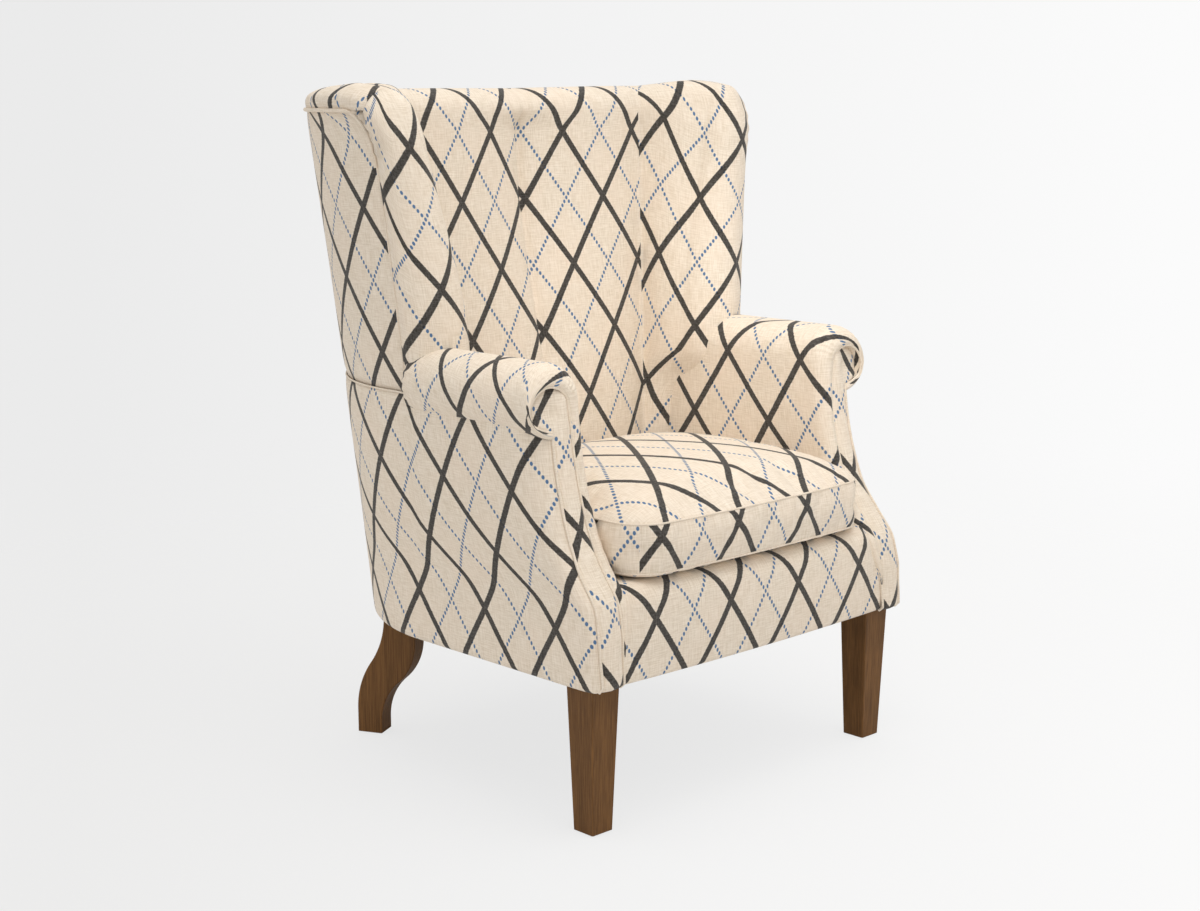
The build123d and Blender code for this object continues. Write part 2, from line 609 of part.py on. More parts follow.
def arm_and_wing_frame(pieces, bolt_holes):
    x = (STUMP_INSIDE, STUMP_INSIDE + STUMP_WIDTH)
    under = box((0, FAR), (-FAR, FAR), (FRAME_Z, ROLL_UNDERSIDE))
    under_cover = barrel(COVER + RAIL_GAP / 2)
    stump = behind_front(STUMP_FRONT, x, FAR) - behind_front(STUMP_FRONT + STUMP_DEPTH, x, FAR)
    stump = (stump & under & under_cover) - bolt_holes
    rail_low = ROLL_UNDERSIDE - ARM_RAIL_HEIGHT
    upright_front = WING_SEAM_BACK - WING_POST_DEPTH / 2
    rail = behind_front(STUMP_FRONT + STUMP_DEPTH, x, upright_front)
    rail = rail & box((0, FAR), (-FAR, FAR), (rail_low, ROLL_UNDERSIDE)) & under_cover
    sections = []
    top = BORDER_SEAM - FORMER_THICKNESS
    for z, place in ((SIDE_SEAM, roll_axis(SIDE_SEAM)), (top, roll_axis(top))):
        sections.append((Pos(*place, z) * Rectangle(WING_POST_WIDTH, WING_POST_DEPTH)).face())
    lower = Pos(*roll_axis(SIDE_SEAM), (RAIL_TOP + SIDE_SEAM) / 2) * Box(
        WING_POST_WIDTH, WING_POST_DEPTH, SIDE_SEAM - RAIL_TOP)
    upright = lower + loft(sections, ruled=True)
    outside = half_width(BORDER_SEAM) - FORMER_SKIN
    axis_y = roll_axis(BORDER_SEAM)[1]
    wing_rail = box(
        (outside - FORMER_WIDTH, outside),
        (axis_y - WING_POST_DEPTH / 2, straight_end(BORDER_SEAM)),
        (top, BORDER_SEAM))
    add_pairs(pieces, {"arm_stump": stump, "arm_rail": rail})
    add_pairs(pieces, {"wing_upright": upright, "wing_top_rail": wing_rail})


def back_frame(pieces):
    cut = back_layer(-BACK_PAD_DEPTH, LAYER, ARM_INSIDE)
    side = [(REAR_RAIL_BACK, FRAME_Z), (REAR_RAIL_BACK, POST_TOP), (post_rear(POST_TOP), POST_TOP)]
    side += [(post_rear(FRAME_Z), FRAME_Z)]
    post = across(side, (POST_OUTSIDE - POST_WIDTH, POST_OUTSIDE)) - cut
    between = across(side, (POST_WIDTH - POST_OUTSIDE, POST_OUTSIDE - POST_WIDTH)) - cut
    add_pairs(pieces, {"back_post": post})
    stay_top = STAY_RAIL_SILL + STAY_RAIL_HEIGHT
    pieces["crest_rail"] = between & box((-FAR, FAR), (0, FAR), (POST_TOP - CREST_RAIL_HEIGHT, POST_TOP))
    pieces["stay_rail"] = between & box((-FAR, FAR), (0, FAR), (STAY_RAIL_SILL, stay_top))
    top = BORDER_SEAM - FORMER_THICKNESS
    former_inside = FORMER_SKIN + FORMER_WIDTH
    pieces["crest_former"] = barrel_band(BORDER_SEAM, top, BORDER_SEAM, FORMER_SKIN, former_inside)
    knee = barrel_right(BORDER_SEAM, former_inside)[1][1]
    tie = box(
        (POST_OUTSIDE - POST_WIDTH, POST_OUTSIDE),
        (crease(POST_TOP) + LAYER, knee[1] + FORMER_WIDTH / 2),
        (POST_TOP, top))
    slat_low = barrel_right(LEG_HEIGHT, BASE_HALF_WIDTH - RAIL_OUTSIDE)[-1][1][1] - RAIL_THICKNESS / 2
    slat_high = barrel_right(BORDER_SEAM, FORMER_SKIN)[-1][1][1] - FORMER_WIDTH / 2
    half = SLAT_THICKNESS / 2
    side = [(slat_low - half, RAIL_TOP), (slat_low + half, RAIL_TOP)]
    side += [(slat_high + half, top), (slat_high - half, top)]
    slat = across(side, (SLAT_SPACING / 2 - SLAT_WIDTH / 2, SLAT_SPACING / 2 + SLAT_WIDTH / 2))
    pieces["crest_ties"] = Compound([tie, other_side(tie)])
    pieces["outside_back_slats"] = Compound([slat, other_side(slat)])


def spread(count, low, high):
    """Evenly spaced places, the first and last at the two ends."""
    return [low + (high - low) * i / (count - 1) for i in range(count)]


def suspension(pieces):
    half = STRAP_WIDTH / 2
    reach = STUMP_INSIDE - STRAP_WIDTH
    front = FRONT_RAIL_FACE + RAIL_THICKNESS - STRAP_BEARING
    rear = REAR_RAIL_BACK - RAIL_THICKNESS + STRAP_BEARING
    straps = []
    for x in spread(LONG_STRAP_COUNT, -reach, reach):
        straps.append(box((x - half, x + half), (front, rear), (RAIL_TOP, RAIL_TOP + STRAP_THICKNESS)))
    side = RAIL_INSIDE + STRAP_BEARING
    first = STUMP_BACK + STRAP_WIDTH
    last = WING_SEAM_BACK - WING_POST_DEPTH / 2 - STRAP_WIDTH
    for y in spread(CROSS_STRAP_COUNT, first, last):
        straps.append(box((-side, side), (y - half, y + half), (RAIL_TOP + STRAP_THICKNESS, STRAP_TOP)))
    pieces["seat_webbing"] = Compound(straps)
    half_burlap = ARM_INSIDE - BURLAP_IN
    pieces["back_burlap"] = back_layer(BACK_PAD_DEPTH, BACK_PAD_DEPTH + BURLAP, half_burlap)
    layer = back_layer(BACK_PAD_DEPTH + BURLAP, LAYER, half_burlap)
    low, high = STAY_RAIL_SILL + STAY_RAIL_HEIGHT + STRAP_WIDTH, POST_TOP - CREST_RAIL_HEIGHT - STRAP_WIDTH
    straps = [layer & box((-POST_OUTSIDE, POST_OUTSIDE), (0, FAR), (z - half, z + half))
              for z in spread(BACK_STRAP_COUNT, low, high)]
    pieces["back_webbing"] = Compound(straps)


# Upholstery

def outside_panels(pieces, arm):
    shell = barrel(0.0) - barrel(COVER)
    pieces["outside_back"] = shell & box((-BACK_SEAM, BACK_SEAM), (SIDE_STRAIGHT, FAR), (0, FAR))
    side = shell & box((BACK_SEAM, FAR), (-FAR, FAR), (0, FAR))
    low, high = roll_axis(SIDE_SEAM)[1], roll_axis(BORDER_SEAM)[1]
    behind_wing = [(low, SIDE_SEAM), (high, BORDER_SEAM), (FAR, BORDER_SEAM), (FAR, SIDE_SEAM)]
    wing = side & across(behind_wing, (0, FAR))
    lower = side & box((0, FAR), (-FAR, FAR), (0, SIDE_SEAM))
    lower = (lower & behind_front(FACING_INSET, (0, FAR), FAR)) - arm
    add_pairs(pieces, {"outside_wing": wing, "outside_arm": lower})


def arm_roll():
    """The arm's inside padding and the roll over its top, as one outline pushed along the arm."""
    radius, x, z = SCROLL_RADIUS, SCROLL_X, SCROLL_HEIGHT
    end = (x + radius * cos(radians(SCROLL_UNDER)), ROLL_UNDERSIDE)
    half_under = radians(SCROLL_UNDER / 2)
    roll = [
        (ARM_INSIDE, z),
        ((x - radius * HALF, z + radius * HALF), (x, z + radius)),
        ((x + radius * HALF, z + radius * HALF), (x + radius, z)),
        ((x + radius * cos(half_under), z - radius * sin(half_under)), end),
        (ARM_INSIDE, ROLL_UNDERSIDE),
    ]
    front = 2 * ARM_FRONT
    roll = along(roll, (front, WING_SEAM_BACK))
    pad = box((ARM_INSIDE, STUMP_INSIDE), (front, REAR_RAIL_BACK), (ARM_PAD_SILL, ROLL_UNDERSIDE))
    return (roll + pad) & behind_front(FACING_INSET, (0, FAR), FAR)


def arm_facing():
    """The arm's front panel: a stile with a scroll at its head, bent to the arm's front."""
    outside = BASE_HALF_WIDTH - COVER - FACING_GAP
    stile = box((STUMP_INSIDE, outside), (2 * ARM_FRONT, FAR), (LEG_HEIGHT, SCROLL_HEIGHT))
    x = STUMP_INSIDE + FACING_SCROLL_OUT
    disc = Pos(x, 0, SCROLL_HEIGHT) * Rot(90, 0, 0) * Cylinder(FACING_SCROLL_RADIUS, FAR)
    panel = (stile & barrel(COVER)) + disc
    near = behind_front(FACING_INSET, (0, FAR), FAR)
    return panel & (near - behind_front(FACING_INSET + FACING_THICKNESS, (0, FAR), FAR))


def front_section(front, rear, low, skin):
    """Moves over the seat's front edge in side view: its cover, or with a skin the roll inside it."""
    radius = BORDER_ROLL_RADIUS - skin
    face, top = front + skin, DECK_HEIGHT - skin
    centre = (face + radius, top - radius)
    via = (centre[0] - radius * HALF, centre[1] + radius * HALF)
    return (face, low), (face, centre[1]), (via, (centre[0], top)), (rear, top)


def front_border():
    sections = []
    for x, bow in ((-STUMP_INSIDE, 0.0), (0.0, BORDER_BOW), (STUMP_INSIDE, 0.0)):
        outer = front_section(BORDER_FRONT - bow, BORDER_RETURN, LEG_HEIGHT, 0.0)
        inner = front_section(BORDER_FRONT - bow, BORDER_RETURN, RAIL_TOP, COVER)
        back = backwards(inner[0], inner[1:])
        moves = [*outer, inner[-1], *back, (FRONT_RAIL_FACE, RAIL_TOP), (FRONT_RAIL_FACE, LEG_HEIGHT)]
        sections.append(trace(*lifted(moves, upright(x))))
    return loft(sections)


def edge_roll():
    sections = []
    for x, bow in ((-ARM_INSIDE, 0.0), (0.0, BORDER_BOW), (ARM_INSIDE, 0.0)):
        rear = FRONT_RAIL_FACE + RAIL_THICKNESS
        moves = front_section(BORDER_FRONT - bow, rear, RAIL_TOP, COVER)
        sections.append(trace(*lifted([*moves, (rear, RAIL_TOP)], upright(x))))
    return loft(sections)


def seat_front(pieces):
    beside = box((ARM_INSIDE - BOLT_CLEARANCE, FAR), (-FAR, FAR), (ARM_PAD_SILL - BOLT_CLEARANCE, FAR))
    beside = beside + other_side(beside)
    pieces["front_border"] = front_border() - beside
    straps = box((-FAR, FAR), (FRONT_RAIL_FACE + RAIL_THICKNESS - STRAP_BEARING, FAR), (0, STRAP_TOP))
    pieces["front_edge_roll"] = edge_roll() - straps - beside


def deck(pieces):
    rear = min(pillow_front(DECK_HEIGHT), corner(DECK_HEIGHT)[1] - TONGUE_FORWARD) - DECK_GAP
    side = ARM_INSIDE - BOLT_CLEARANCE
    front = FRONT_RAIL_FACE + RAIL_THICKNESS
    pad = box((-side, side), (front, rear), (STRAP_TOP, DECK_HEIGHT - COVER))
    pieces["deck_pad"] = pad
    pieces["deck_cover"] = box((-side, side), (BORDER_RETURN, rear), (DECK_HEIGHT - COVER, DECK_HEIGHT))


def underside(pieces):
    inset = DUST_COVER_INSET
    right = barrel_right(LEG_HEIGHT, inset)
    moves = [(right[0][0], ARM_FRONT + STUMP_FRONT), *right]
    sheet = upwards(both_halves(moves), (LEG_HEIGHT, FRAME_Z))
    room = 2 * BOLT_CLEARANCE
    front = FRONT_LEG_PLACE * Box(FRONT_LEG_TOP + room, FRONT_LEG_TOP + room, FAR)
    rear = REAR_LEG_PLACE * Box(REAR_LEG_TOP + room, REAR_LEG_THICKNESS + room, FAR)
    holes = front + rear
    pieces["dust_cover"] = sheet - holes - other_side(holes)


def soft_back(pieces, arm):
    back = back_pad()
    heights = SIDE_SEAM, (SIDE_SEAM + BORDER_SEAM) / 2, BORDER_SEAM
    wing = loft([wing_section(z) for z in heights]) + wing_tongue()
    for wood in "wing_upright_right", "wing_top_rail_right", "crest_former":
        wing = wing - pieces[wood]
    wing = wing - back - arm
    pieces["inside_back"] = back
    pieces["top_border"] = top_border()
    add_pairs(pieces, {"wing_pad": wing})


# Loose seat cushion

# Each pair is a share of the crown's height and the distance in from the seam
DOME = ((0.0, 0.0), (0.45, 20.0), (0.8, 60.0), (1.0, 125.0))
CUSHION_MIDDLE = (CUSHION_SEAM_LOW + CUSHION_SEAM_HIGH) / 2
BEHIND_CUSHION = min(pillow_front(z) for z in (CUSHION_SEAM_LOW, CUSHION_MIDDLE, CUSHION_SEAM_HIGH))
CUSHION_BACK = BEHIND_CUSHION - CUSHION_BACK_GAP - BOXING_SWELL


def cushion_outline(inset, z):
    """The cushion in plan at a height, with sides that pull in between rounded corners."""
    side, radius = CUSHION_HALF_WIDTH - inset, CUSHION_CORNER
    front, back = CUSHION_FRONT + inset, CUSHION_BACK - inset
    middle = (front + back) / 2
    bite = radius * (1 - HALF)
    moves = [
        (side - radius, front),
        ((side - bite, front + bite), (side, front + radius)),
        ((side - CUSHION_DRAW, middle), (side, back - radius)),
        ((side - bite, back - bite), (side - radius, back)),
        ((0.0, back - CUSHION_DRAW), (radius - side, back)),
        ((bite - side, back - bite), (-side, back - radius)),
        ((CUSHION_DRAW - side, middle), (-side, front + radius)),
        ((bite - side, front + bite), (radius - side, front)),
        ((0.0, front + CUSHION_DRAW), (side - radius, front)),
    ]
    return trace(*lifted(moves, level(z)))


def dome(seam, height, inset):
    """The swell above or below a seam."""
    return loft([cushion_outline(inset + reach, seam + share * height) for share, reach in DOME])


def boxing(inset):
    """The cushion's border between its two seams."""
    stations = (CUSHION_SEAM_LOW, 0.0), (CUSHION_MIDDLE, -BOXING_SWELL), (CUSHION_SEAM_HIGH, 0.0)
    return loft([cushion_outline(inset + swell, z) for z, swell in stations])


def cushion(pieces):
    skin = CUSHION_COVER
    top_core = dome(CUSHION_SEAM_HIGH, CUSHION_CROWN - skin, skin)
    low_core = dome(CUSHION_SEAM_LOW, skin - CUSHION_BELLY, skin)
    core = boxing(skin)
    pieces["cushion_core"] = core + top_core + low_core
    pieces["cushion_top_panel"] = dome(CUSHION_SEAM_HIGH, CUSHION_CROWN, 0.0) - top_core
    pieces["cushion_bottom_panel"] = dome(CUSHION_SEAM_LOW, -CUSHION_BELLY, 0.0) - low_core
    band = boxing(0.0) - core
    reach, half = CUSHION_HALF_WIDTH - ZIP_END, ZIP_WIDTH / 2
    slot = box((-reach, reach), (0, FAR), (CUSHION_MIDDLE - half, CUSHION_MIDDLE + half))
    pieces["cushion_boxing"] = band - slot
    pieces["cushion_zip"] = band & slot


def chair():
    pieces = {}
    bolt_holes = legs(pieces)
    seat_frame(pieces, bolt_holes)
    arm_and_wing_frame(pieces, bolt_holes)
    back_frame(pieces)
    suspension(pieces)
    roll = arm_roll()
    facing = arm_facing()
    outside_panels(pieces, roll)
    arm = roll - facing - pieces["wing_upright_right"]
    add_pairs(pieces, {"arm_pad": arm, "arm_facing": facing - pieces["arm_stump_right"]})
    soft_back(pieces, roll)
    seat_front(pieces)
    deck(pieces)
    underside(pieces)
    cushion(pieces)
    return pieces


def main():
    os.makedirs("parts", exist_ok=True)
    pieces = chair()
    extent = Compound([solid for shape in pieces.values() for solid in shape.solids()]).bounding_box()
    to_origin = Pos(-(extent.min.X + extent.max.X) / 2, -(extent.min.Y + extent.max.Y) / 2, -extent.min.Z)
    for name, shape in pieces.items():
        export_step(to_origin * shape, f"parts/{name}.step")
    print(f"{len(pieces)} pieces, {extent.size.X:.1f} x {extent.size.Y:.1f} x {extent.size.Z:.1f} mm")
    print(f"moved by {-(extent.min.Y + extent.max.Y) / 2:.2f} mm along Y")


main()
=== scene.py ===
# %% [markdown]
# # A barrel-back wing chair
# This lesson dresses a wing chair with scroll arms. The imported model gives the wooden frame, the legs and
# the places of all the soft parts. Blender makes what the eye meets: printed linen drawn over padding,
# piped seams, a loose seat cushion and stained wooden legs.

# %% The frame
import bmesh
import bpy
import math
import numpy as np
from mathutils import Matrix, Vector, geometry


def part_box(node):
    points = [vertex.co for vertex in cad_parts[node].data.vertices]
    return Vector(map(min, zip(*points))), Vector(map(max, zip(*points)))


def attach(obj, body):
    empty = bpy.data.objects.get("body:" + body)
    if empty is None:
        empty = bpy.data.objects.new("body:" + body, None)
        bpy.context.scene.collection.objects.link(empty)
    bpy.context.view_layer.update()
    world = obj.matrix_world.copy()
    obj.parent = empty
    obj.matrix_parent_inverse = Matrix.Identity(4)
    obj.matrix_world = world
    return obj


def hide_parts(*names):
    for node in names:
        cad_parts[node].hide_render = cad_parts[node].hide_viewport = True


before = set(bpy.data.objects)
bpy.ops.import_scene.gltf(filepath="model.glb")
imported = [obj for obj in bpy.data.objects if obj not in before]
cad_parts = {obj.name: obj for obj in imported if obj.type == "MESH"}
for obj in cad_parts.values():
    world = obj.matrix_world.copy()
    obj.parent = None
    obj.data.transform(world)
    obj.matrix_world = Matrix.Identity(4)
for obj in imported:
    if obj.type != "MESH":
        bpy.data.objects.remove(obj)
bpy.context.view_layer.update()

# %% [markdown]
# ## Sizes
# Everything is in metres. Depths are measured back from the axis of the front legs, because the whole
# chair is laid out from there, and `FRONT_AXIS` moves them into the frame. What the frame can tell is
# read from it, and the other values are the radii and offsets that give the covers their shape.

# %% Sizes
def low(node):
    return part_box(node)[0]


def high(node):
    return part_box(node)[1]


FRONT_AXIS = (low("front_leg_right").y + high("front_leg_right").y) / 2
COVER_BOTTOM = low("outside_arm_right").z
BORDER_SEAM = low("top_border").z
SIDE_SEAM = high("outside_arm_right").z
BACK_SEAM = high("outside_back").x
DECK = high("deck_cover").z
ARM_INSIDE = low("arm_pad_right").x
SCROLL_RADIUS = 0.053
SCROLL_Z = high("arm_pad_right").z - SCROLL_RADIUS
SCROLL_X = ARM_INSIDE + SCROLL_RADIUS
TOP_HALF_WIDTH = high("outside_wing_right").x
ARM_HALF_WIDTH, ARM_LEVEL = 0.350, 0.600
BASE_HALF_WIDTH = 0.338
SIDE_STRAIGHT, SIDE_RADIUS, REAR_RADIUS = 0.344, 0.290, 0.105
SIDE_LEAN, TOP_LEAN = 0.052, 0.077
WING_SEAM, WING_LEAN = 0.345, math.radians(2.8)
ROLL_SIZE = ((0.600, 0.053), (0.720, 0.0555), (0.870, 0.046), (1.000, 0.0415))
CREASE_LINE = ((0.356, 0.400), (0.560, 0.416), (0.780, 0.465), (1.000, 0.487))
PILLOW_CROWN = 0.014
CORNER_FOOT, CORNER_LEAN = (0.223, 0.417), (0.024, 0.045)
ARM_FRONT, ARM_SET_BACK, ARM_SWEEP, ARM_TOE = -0.041, 0.101, 0.489, 0.114
TOE_PADDING, TOE_PADDING_TOP, TOE_PADDING_FADE = 0.0075, 0.355, 0.070
TOE_RIDGE, TOE_RIDGE_LEVEL, TOE_RIDGE_SPREAD = 0.0065, 0.340, 0.022
CLOTH = 0.0025
print("front legs' axis at", round(FRONT_AXIS, 4), "deck at", round(DECK, 4))

# %% [markdown]
# ## The lines the chair is drawn from
# A few curves carry the whole form: the barrel outside, the wing's roll, the crease of the inside back
# and the ogee of the arm's front. Each is a small formula, so every panel that meets along such a line
# takes it from the same place.

# %% Lines
def through(points, value):
    """A smooth curve through a few points."""
    total = 0.0
    for here, size in points:
        share = 1.0
        for there, _ in points:
            if there != here:
                share = share * (value - there) / (here - there)
        total = total + size * share
    return total


def half_width(z):
    """Half of the outside width at a height."""
    return through(((COVER_BOTTOM, BASE_HALF_WIDTH), (ARM_LEVEL, ARM_HALF_WIDTH),
                    (BORDER_SEAM, TOP_HALF_WIDTH)), min(z, BORDER_SEAM))


def straight_end(z):
    """Depth at which the straight side starts to curve round to the back."""
    return SIDE_STRAIGHT + through(((COVER_BOTTOM, 0.0), (ARM_LEVEL, SIDE_LEAN),
                                    (BORDER_SEAM, TOP_LEAN)), min(z, BORDER_SEAM))


def roll_radius(z):
    return through(ROLL_SIZE, min(max(z, 0.600), BORDER_SEAM))


def roll_axis(z):
    """Middle of the wing's roll in plan."""
    z = min(z, BORDER_SEAM)
    return half_width(z) - roll_radius(z), WING_SEAM + (z - SIDE_SEAM) * math.tan(WING_LEAN)


def crease(z):
    return through(CREASE_LINE, min(z, BORDER_SEAM))


def corner(z):
    """Where the wing meets the inside back, in plan."""
    rise = (min(z, BORDER_SEAM) - DECK) / (BORDER_SEAM - DECK)
    return tuple(foot + lean * rise for foot, lean in zip(CORNER_FOOT, CORNER_LEAN))


# %% Lines: front of the arm
def arm_front(z):
    """Depth of the arm's front at a height: upright, then a round toe, then a long hollow."""
    reach = ARM_SWEEP + ARM_TOE
    angle = math.acos(1 - ARM_SET_BACK / reach)
    start = SCROLL_Z - reach * math.sin(angle)
    padding = TOE_PADDING * (1 - float(smooth((z - TOE_PADDING_TOP) / TOE_PADDING_FADE)))
    padding += TOE_RIDGE * math.exp(-((z - TOE_RIDGE_LEVEL) / TOE_RIDGE_SPREAD) ** 2)
    if z <= start:
        return ARM_FRONT - padding
    if z <= start + ARM_TOE * math.sin(angle):
        return ARM_FRONT + ARM_TOE - math.sqrt(ARM_TOE ** 2 - (z - start) ** 2) - padding
    if z <= SCROLL_Z:
        hollow = math.sqrt(ARM_SWEEP ** 2 - (SCROLL_Z - z) ** 2)
        return ARM_FRONT + ARM_SET_BACK - ARM_SWEEP + hollow - padding
    return ARM_FRONT + ARM_SET_BACK


# %% Lines: barrel in plan
SIDE_POINTS, ARC_POINTS, SIDE_START = 80, 40, -0.1


def barrel_line(z, inset=0.0):
    """The outside in plan at a height, from the front of the right side to the middle of the back."""
    width, end = half_width(z), straight_end(z)
    turn = np.linspace(0, math.pi / 4, ARC_POINTS)
    big, small = SIDE_RADIUS - inset, REAR_RADIUS - inset
    first = np.array([width - SIDE_RADIUS, end]) + big * np.stack([np.cos(turn), np.sin(turn)], 1)
    centre = first[-1] - small * math.sqrt(0.5)
    turn = turn + math.pi / 4
    second = centre + small * np.stack([np.cos(turn), np.sin(turn)], 1)
    side = np.stack([np.full(SIDE_POINTS, width - inset), np.linspace(SIDE_START, end, SIDE_POINTS)], 1)
    back = np.stack([np.linspace(second[-1][0], 0, ARC_POINTS), np.full(ARC_POINTS, second[-1][1])], 1)
    return np.concatenate([side[:-1], first[:-1], second[:-1], back])


# %% Lines: measuring
def lengths(line):
    """Length along a line up to each of its points."""
    return np.concatenate([[0.0], np.cumsum(np.linalg.norm(np.diff(line, axis=0), axis=1))])


def spaced(line, first, last, count):
    """Points at even steps along a line, between two of its lengths."""
    places = np.linspace(first, last, count)
    run = lengths(line)
    return np.stack([np.interp(places, run, line[:, axis]) for axis in range(line.shape[1])], 1)


def at_depth(line, depth):
    """Length along the barrel's side up to a depth."""
    return float(np.interp(depth, line[:SIDE_POINTS, 1], lengths(line)[:SIDE_POINTS]))


def at_across(line, x):
    """Length along the barrel's rear up to a distance from the middle line."""
    return float(np.interp(-x, -line[SIDE_POINTS:, 0], lengths(line)[SIDE_POINTS:]))


def smooth(value):
    """Eases from 0 to 1 as the value does."""
    value = np.clip(value, 0.0, 1.0)
    return value * value * (3 - 2 * value)


def on_table(table, value):
    """Straight from point to point of a short table."""
    return float(np.interp(value, *zip(*table)))


print("middle of the back at the border seam", np.round(barrel_line(BORDER_SEAM)[-1], 3))

# %% [markdown]
# ## From grids of points to cloth
# Most covers are a grid: rows along one direction, columns along the other. Each corner of a face keeps
# its own place on the cloth, in metres along the surface, so the weave and the print run true on curved
# parts. A cover is given a cloth's thickness inwards, which also closes its edges.

# %% Cloth from grids
class Cloth:
    """Collects faces with their places on the cloth, then makes one mesh of them."""

    def __init__(self):
        self.points, self.places, self.faces = [], [], []

    def grid(self, points, places):
        rows, columns = points.shape[:2]
        start = len(self.points)
        self.points.extend(points.reshape(-1, 3).tolist())
        self.places.extend(places.reshape(-1, 2).tolist())
        for r in range(rows - 1):
            for c in range(columns - 1):
                a = start + r * columns + c
                self.faces.append([a, a + 1, a + columns + 1, a + columns])

    def add(self, points, places, faces):
        start = len(self.points)
        self.points.extend(np.asarray(points).tolist())
        self.places.extend(np.asarray(places).tolist())
        self.faces.extend([start + i for i in face] for face in faces)

    def mesh(self, name, look, thickness=CLOTH, mirrored=False, relief=None):
        """look: a place and the way that the cloth faces there. relief: how far it stands out at a place."""
        sign = -1.0 if mirrored else 1.0
        data = bpy.data.meshes.new(name)
        data.from_pydata([(sign * x, y + FRONT_AXIS, z) for x, y, z in self.points], [], self.faces)
        layer = data.uv_layers.new(name="cloth")
        for loop in data.loops:
            layer.data[loop.index].uv = self.places[loop.vertex_index]
        work = bmesh.new()
        work.from_mesh(data)
        bmesh.ops.remove_doubles(work, verts=work.verts, dist=1e-5)
        bmesh.ops.dissolve_degenerate(work, edges=work.edges, dist=1e-7)
        bmesh.ops.recalc_face_normals(work, faces=work.faces)
        (x, y, z), (a, b, c) = look
        spot, way = Vector((sign * x, y + FRONT_AXIS, z)), Vector((sign * a, b, c))
        nearest = min(work.faces, key=lambda f: (f.calc_center_median() - spot).length)
        if nearest.normal.dot(way) < 0:
            bmesh.ops.reverse_faces(work, faces=work.faces)
        if relief:
            work.normal_update()
            moves = [v.normal * float(relief(abs(v.co.x), v.co.y - FRONT_AXIS, v.co.z)) for v in work.verts]
            for v, move in zip(work.verts, moves):
                v.co += move
        work.to_mesh(data)
        work.free()
        obj = bpy.data.objects.new(name, data)
        bpy.context.scene.collection.objects.link(obj)
        if thickness:
            wall = obj.modifiers.new("wall", "SOLIDIFY")
            wall.thickness, wall.offset = thickness, -1.0
            settle(obj)
        obj.data.shade_smooth()
        return obj


def settle(obj):
    """Turns an object with modifiers into a plain mesh."""
    graph = bpy.context.evaluated_depsgraph_get()
    plain = bpy.data.meshes.new_from_object(obj.evaluated_get(graph))
    obj.modifiers.clear()
    obj.data = plain
    return obj


# %% Grids: lengths, swelling and places on the cloth
def runs(points):
    """Lengths along the rows of a grid, and along its columns."""
    along, up = np.zeros(points.shape[:2]), np.zeros(points.shape[:2])
    along[:, 1:] = np.cumsum(np.linalg.norm(np.diff(points, axis=1), axis=2), axis=1)
    up[1:] = np.cumsum(np.linalg.norm(np.diff(points, axis=0), axis=2), axis=0)
    return along, up


def outward(points, way):
    """Unit normals of a grid; way is how its middle faces."""
    n = np.cross(np.gradient(points, axis=1), np.gradient(points, axis=0))
    n /= np.maximum(np.linalg.norm(n, axis=2, keepdims=True), 1e-12)
    middle = n[n.shape[0] // 2, n.shape[1] // 2]
    return n if np.dot(middle, way) > 0 else -n


def swell(points, way, height, reach):
    """Pads a grid: it stands out by height in its middle and falls to nothing at its edges."""
    along, up = runs(points)
    side = np.minimum(along, along[:, -1:] - along)
    end = np.minimum(up, up[-1:] - up)
    rise = height * (1 - np.exp(-side / reach)) * (1 - np.exp(-end / reach))
    return points + outward(points, way) * rise[..., None]


def on_cloth(points, column=0, shift=(0.0, 0.0)):
    """Places on the cloth: along the rows from one column, and up from the first row."""
    along, up = runs(points)
    flat = np.stack([along - along[:, column:column + 1], np.mean(up, axis=1, keepdims=True) + 0 * up], 2)
    return flat + np.asarray(shift)


# %% [markdown]
# ## Colour nodes
# Materials are built from a handful of maths nodes. These small helpers add a node, link or set its
# inputs and hand back its output, so a formula in the script reads much like the formula on paper.

# %% Node helper
def put(tree, socket, value):
    """Links an input to an output, or sets it to a plain value."""
    if isinstance(value, bpy.types.NodeSocket):
        tree.links.new(value, socket)
    else:
        socket.default_value = value


def make(tree, kind, inputs=None, **settings):
    """Adds a node to a tree, with its settings and its inputs."""
    node = tree.nodes.new(kind)
    for key, value in settings.items():
        setattr(node, key, value)
    for key, value in (inputs or {}).items():
        put(tree, node.inputs[key], value)
    return node


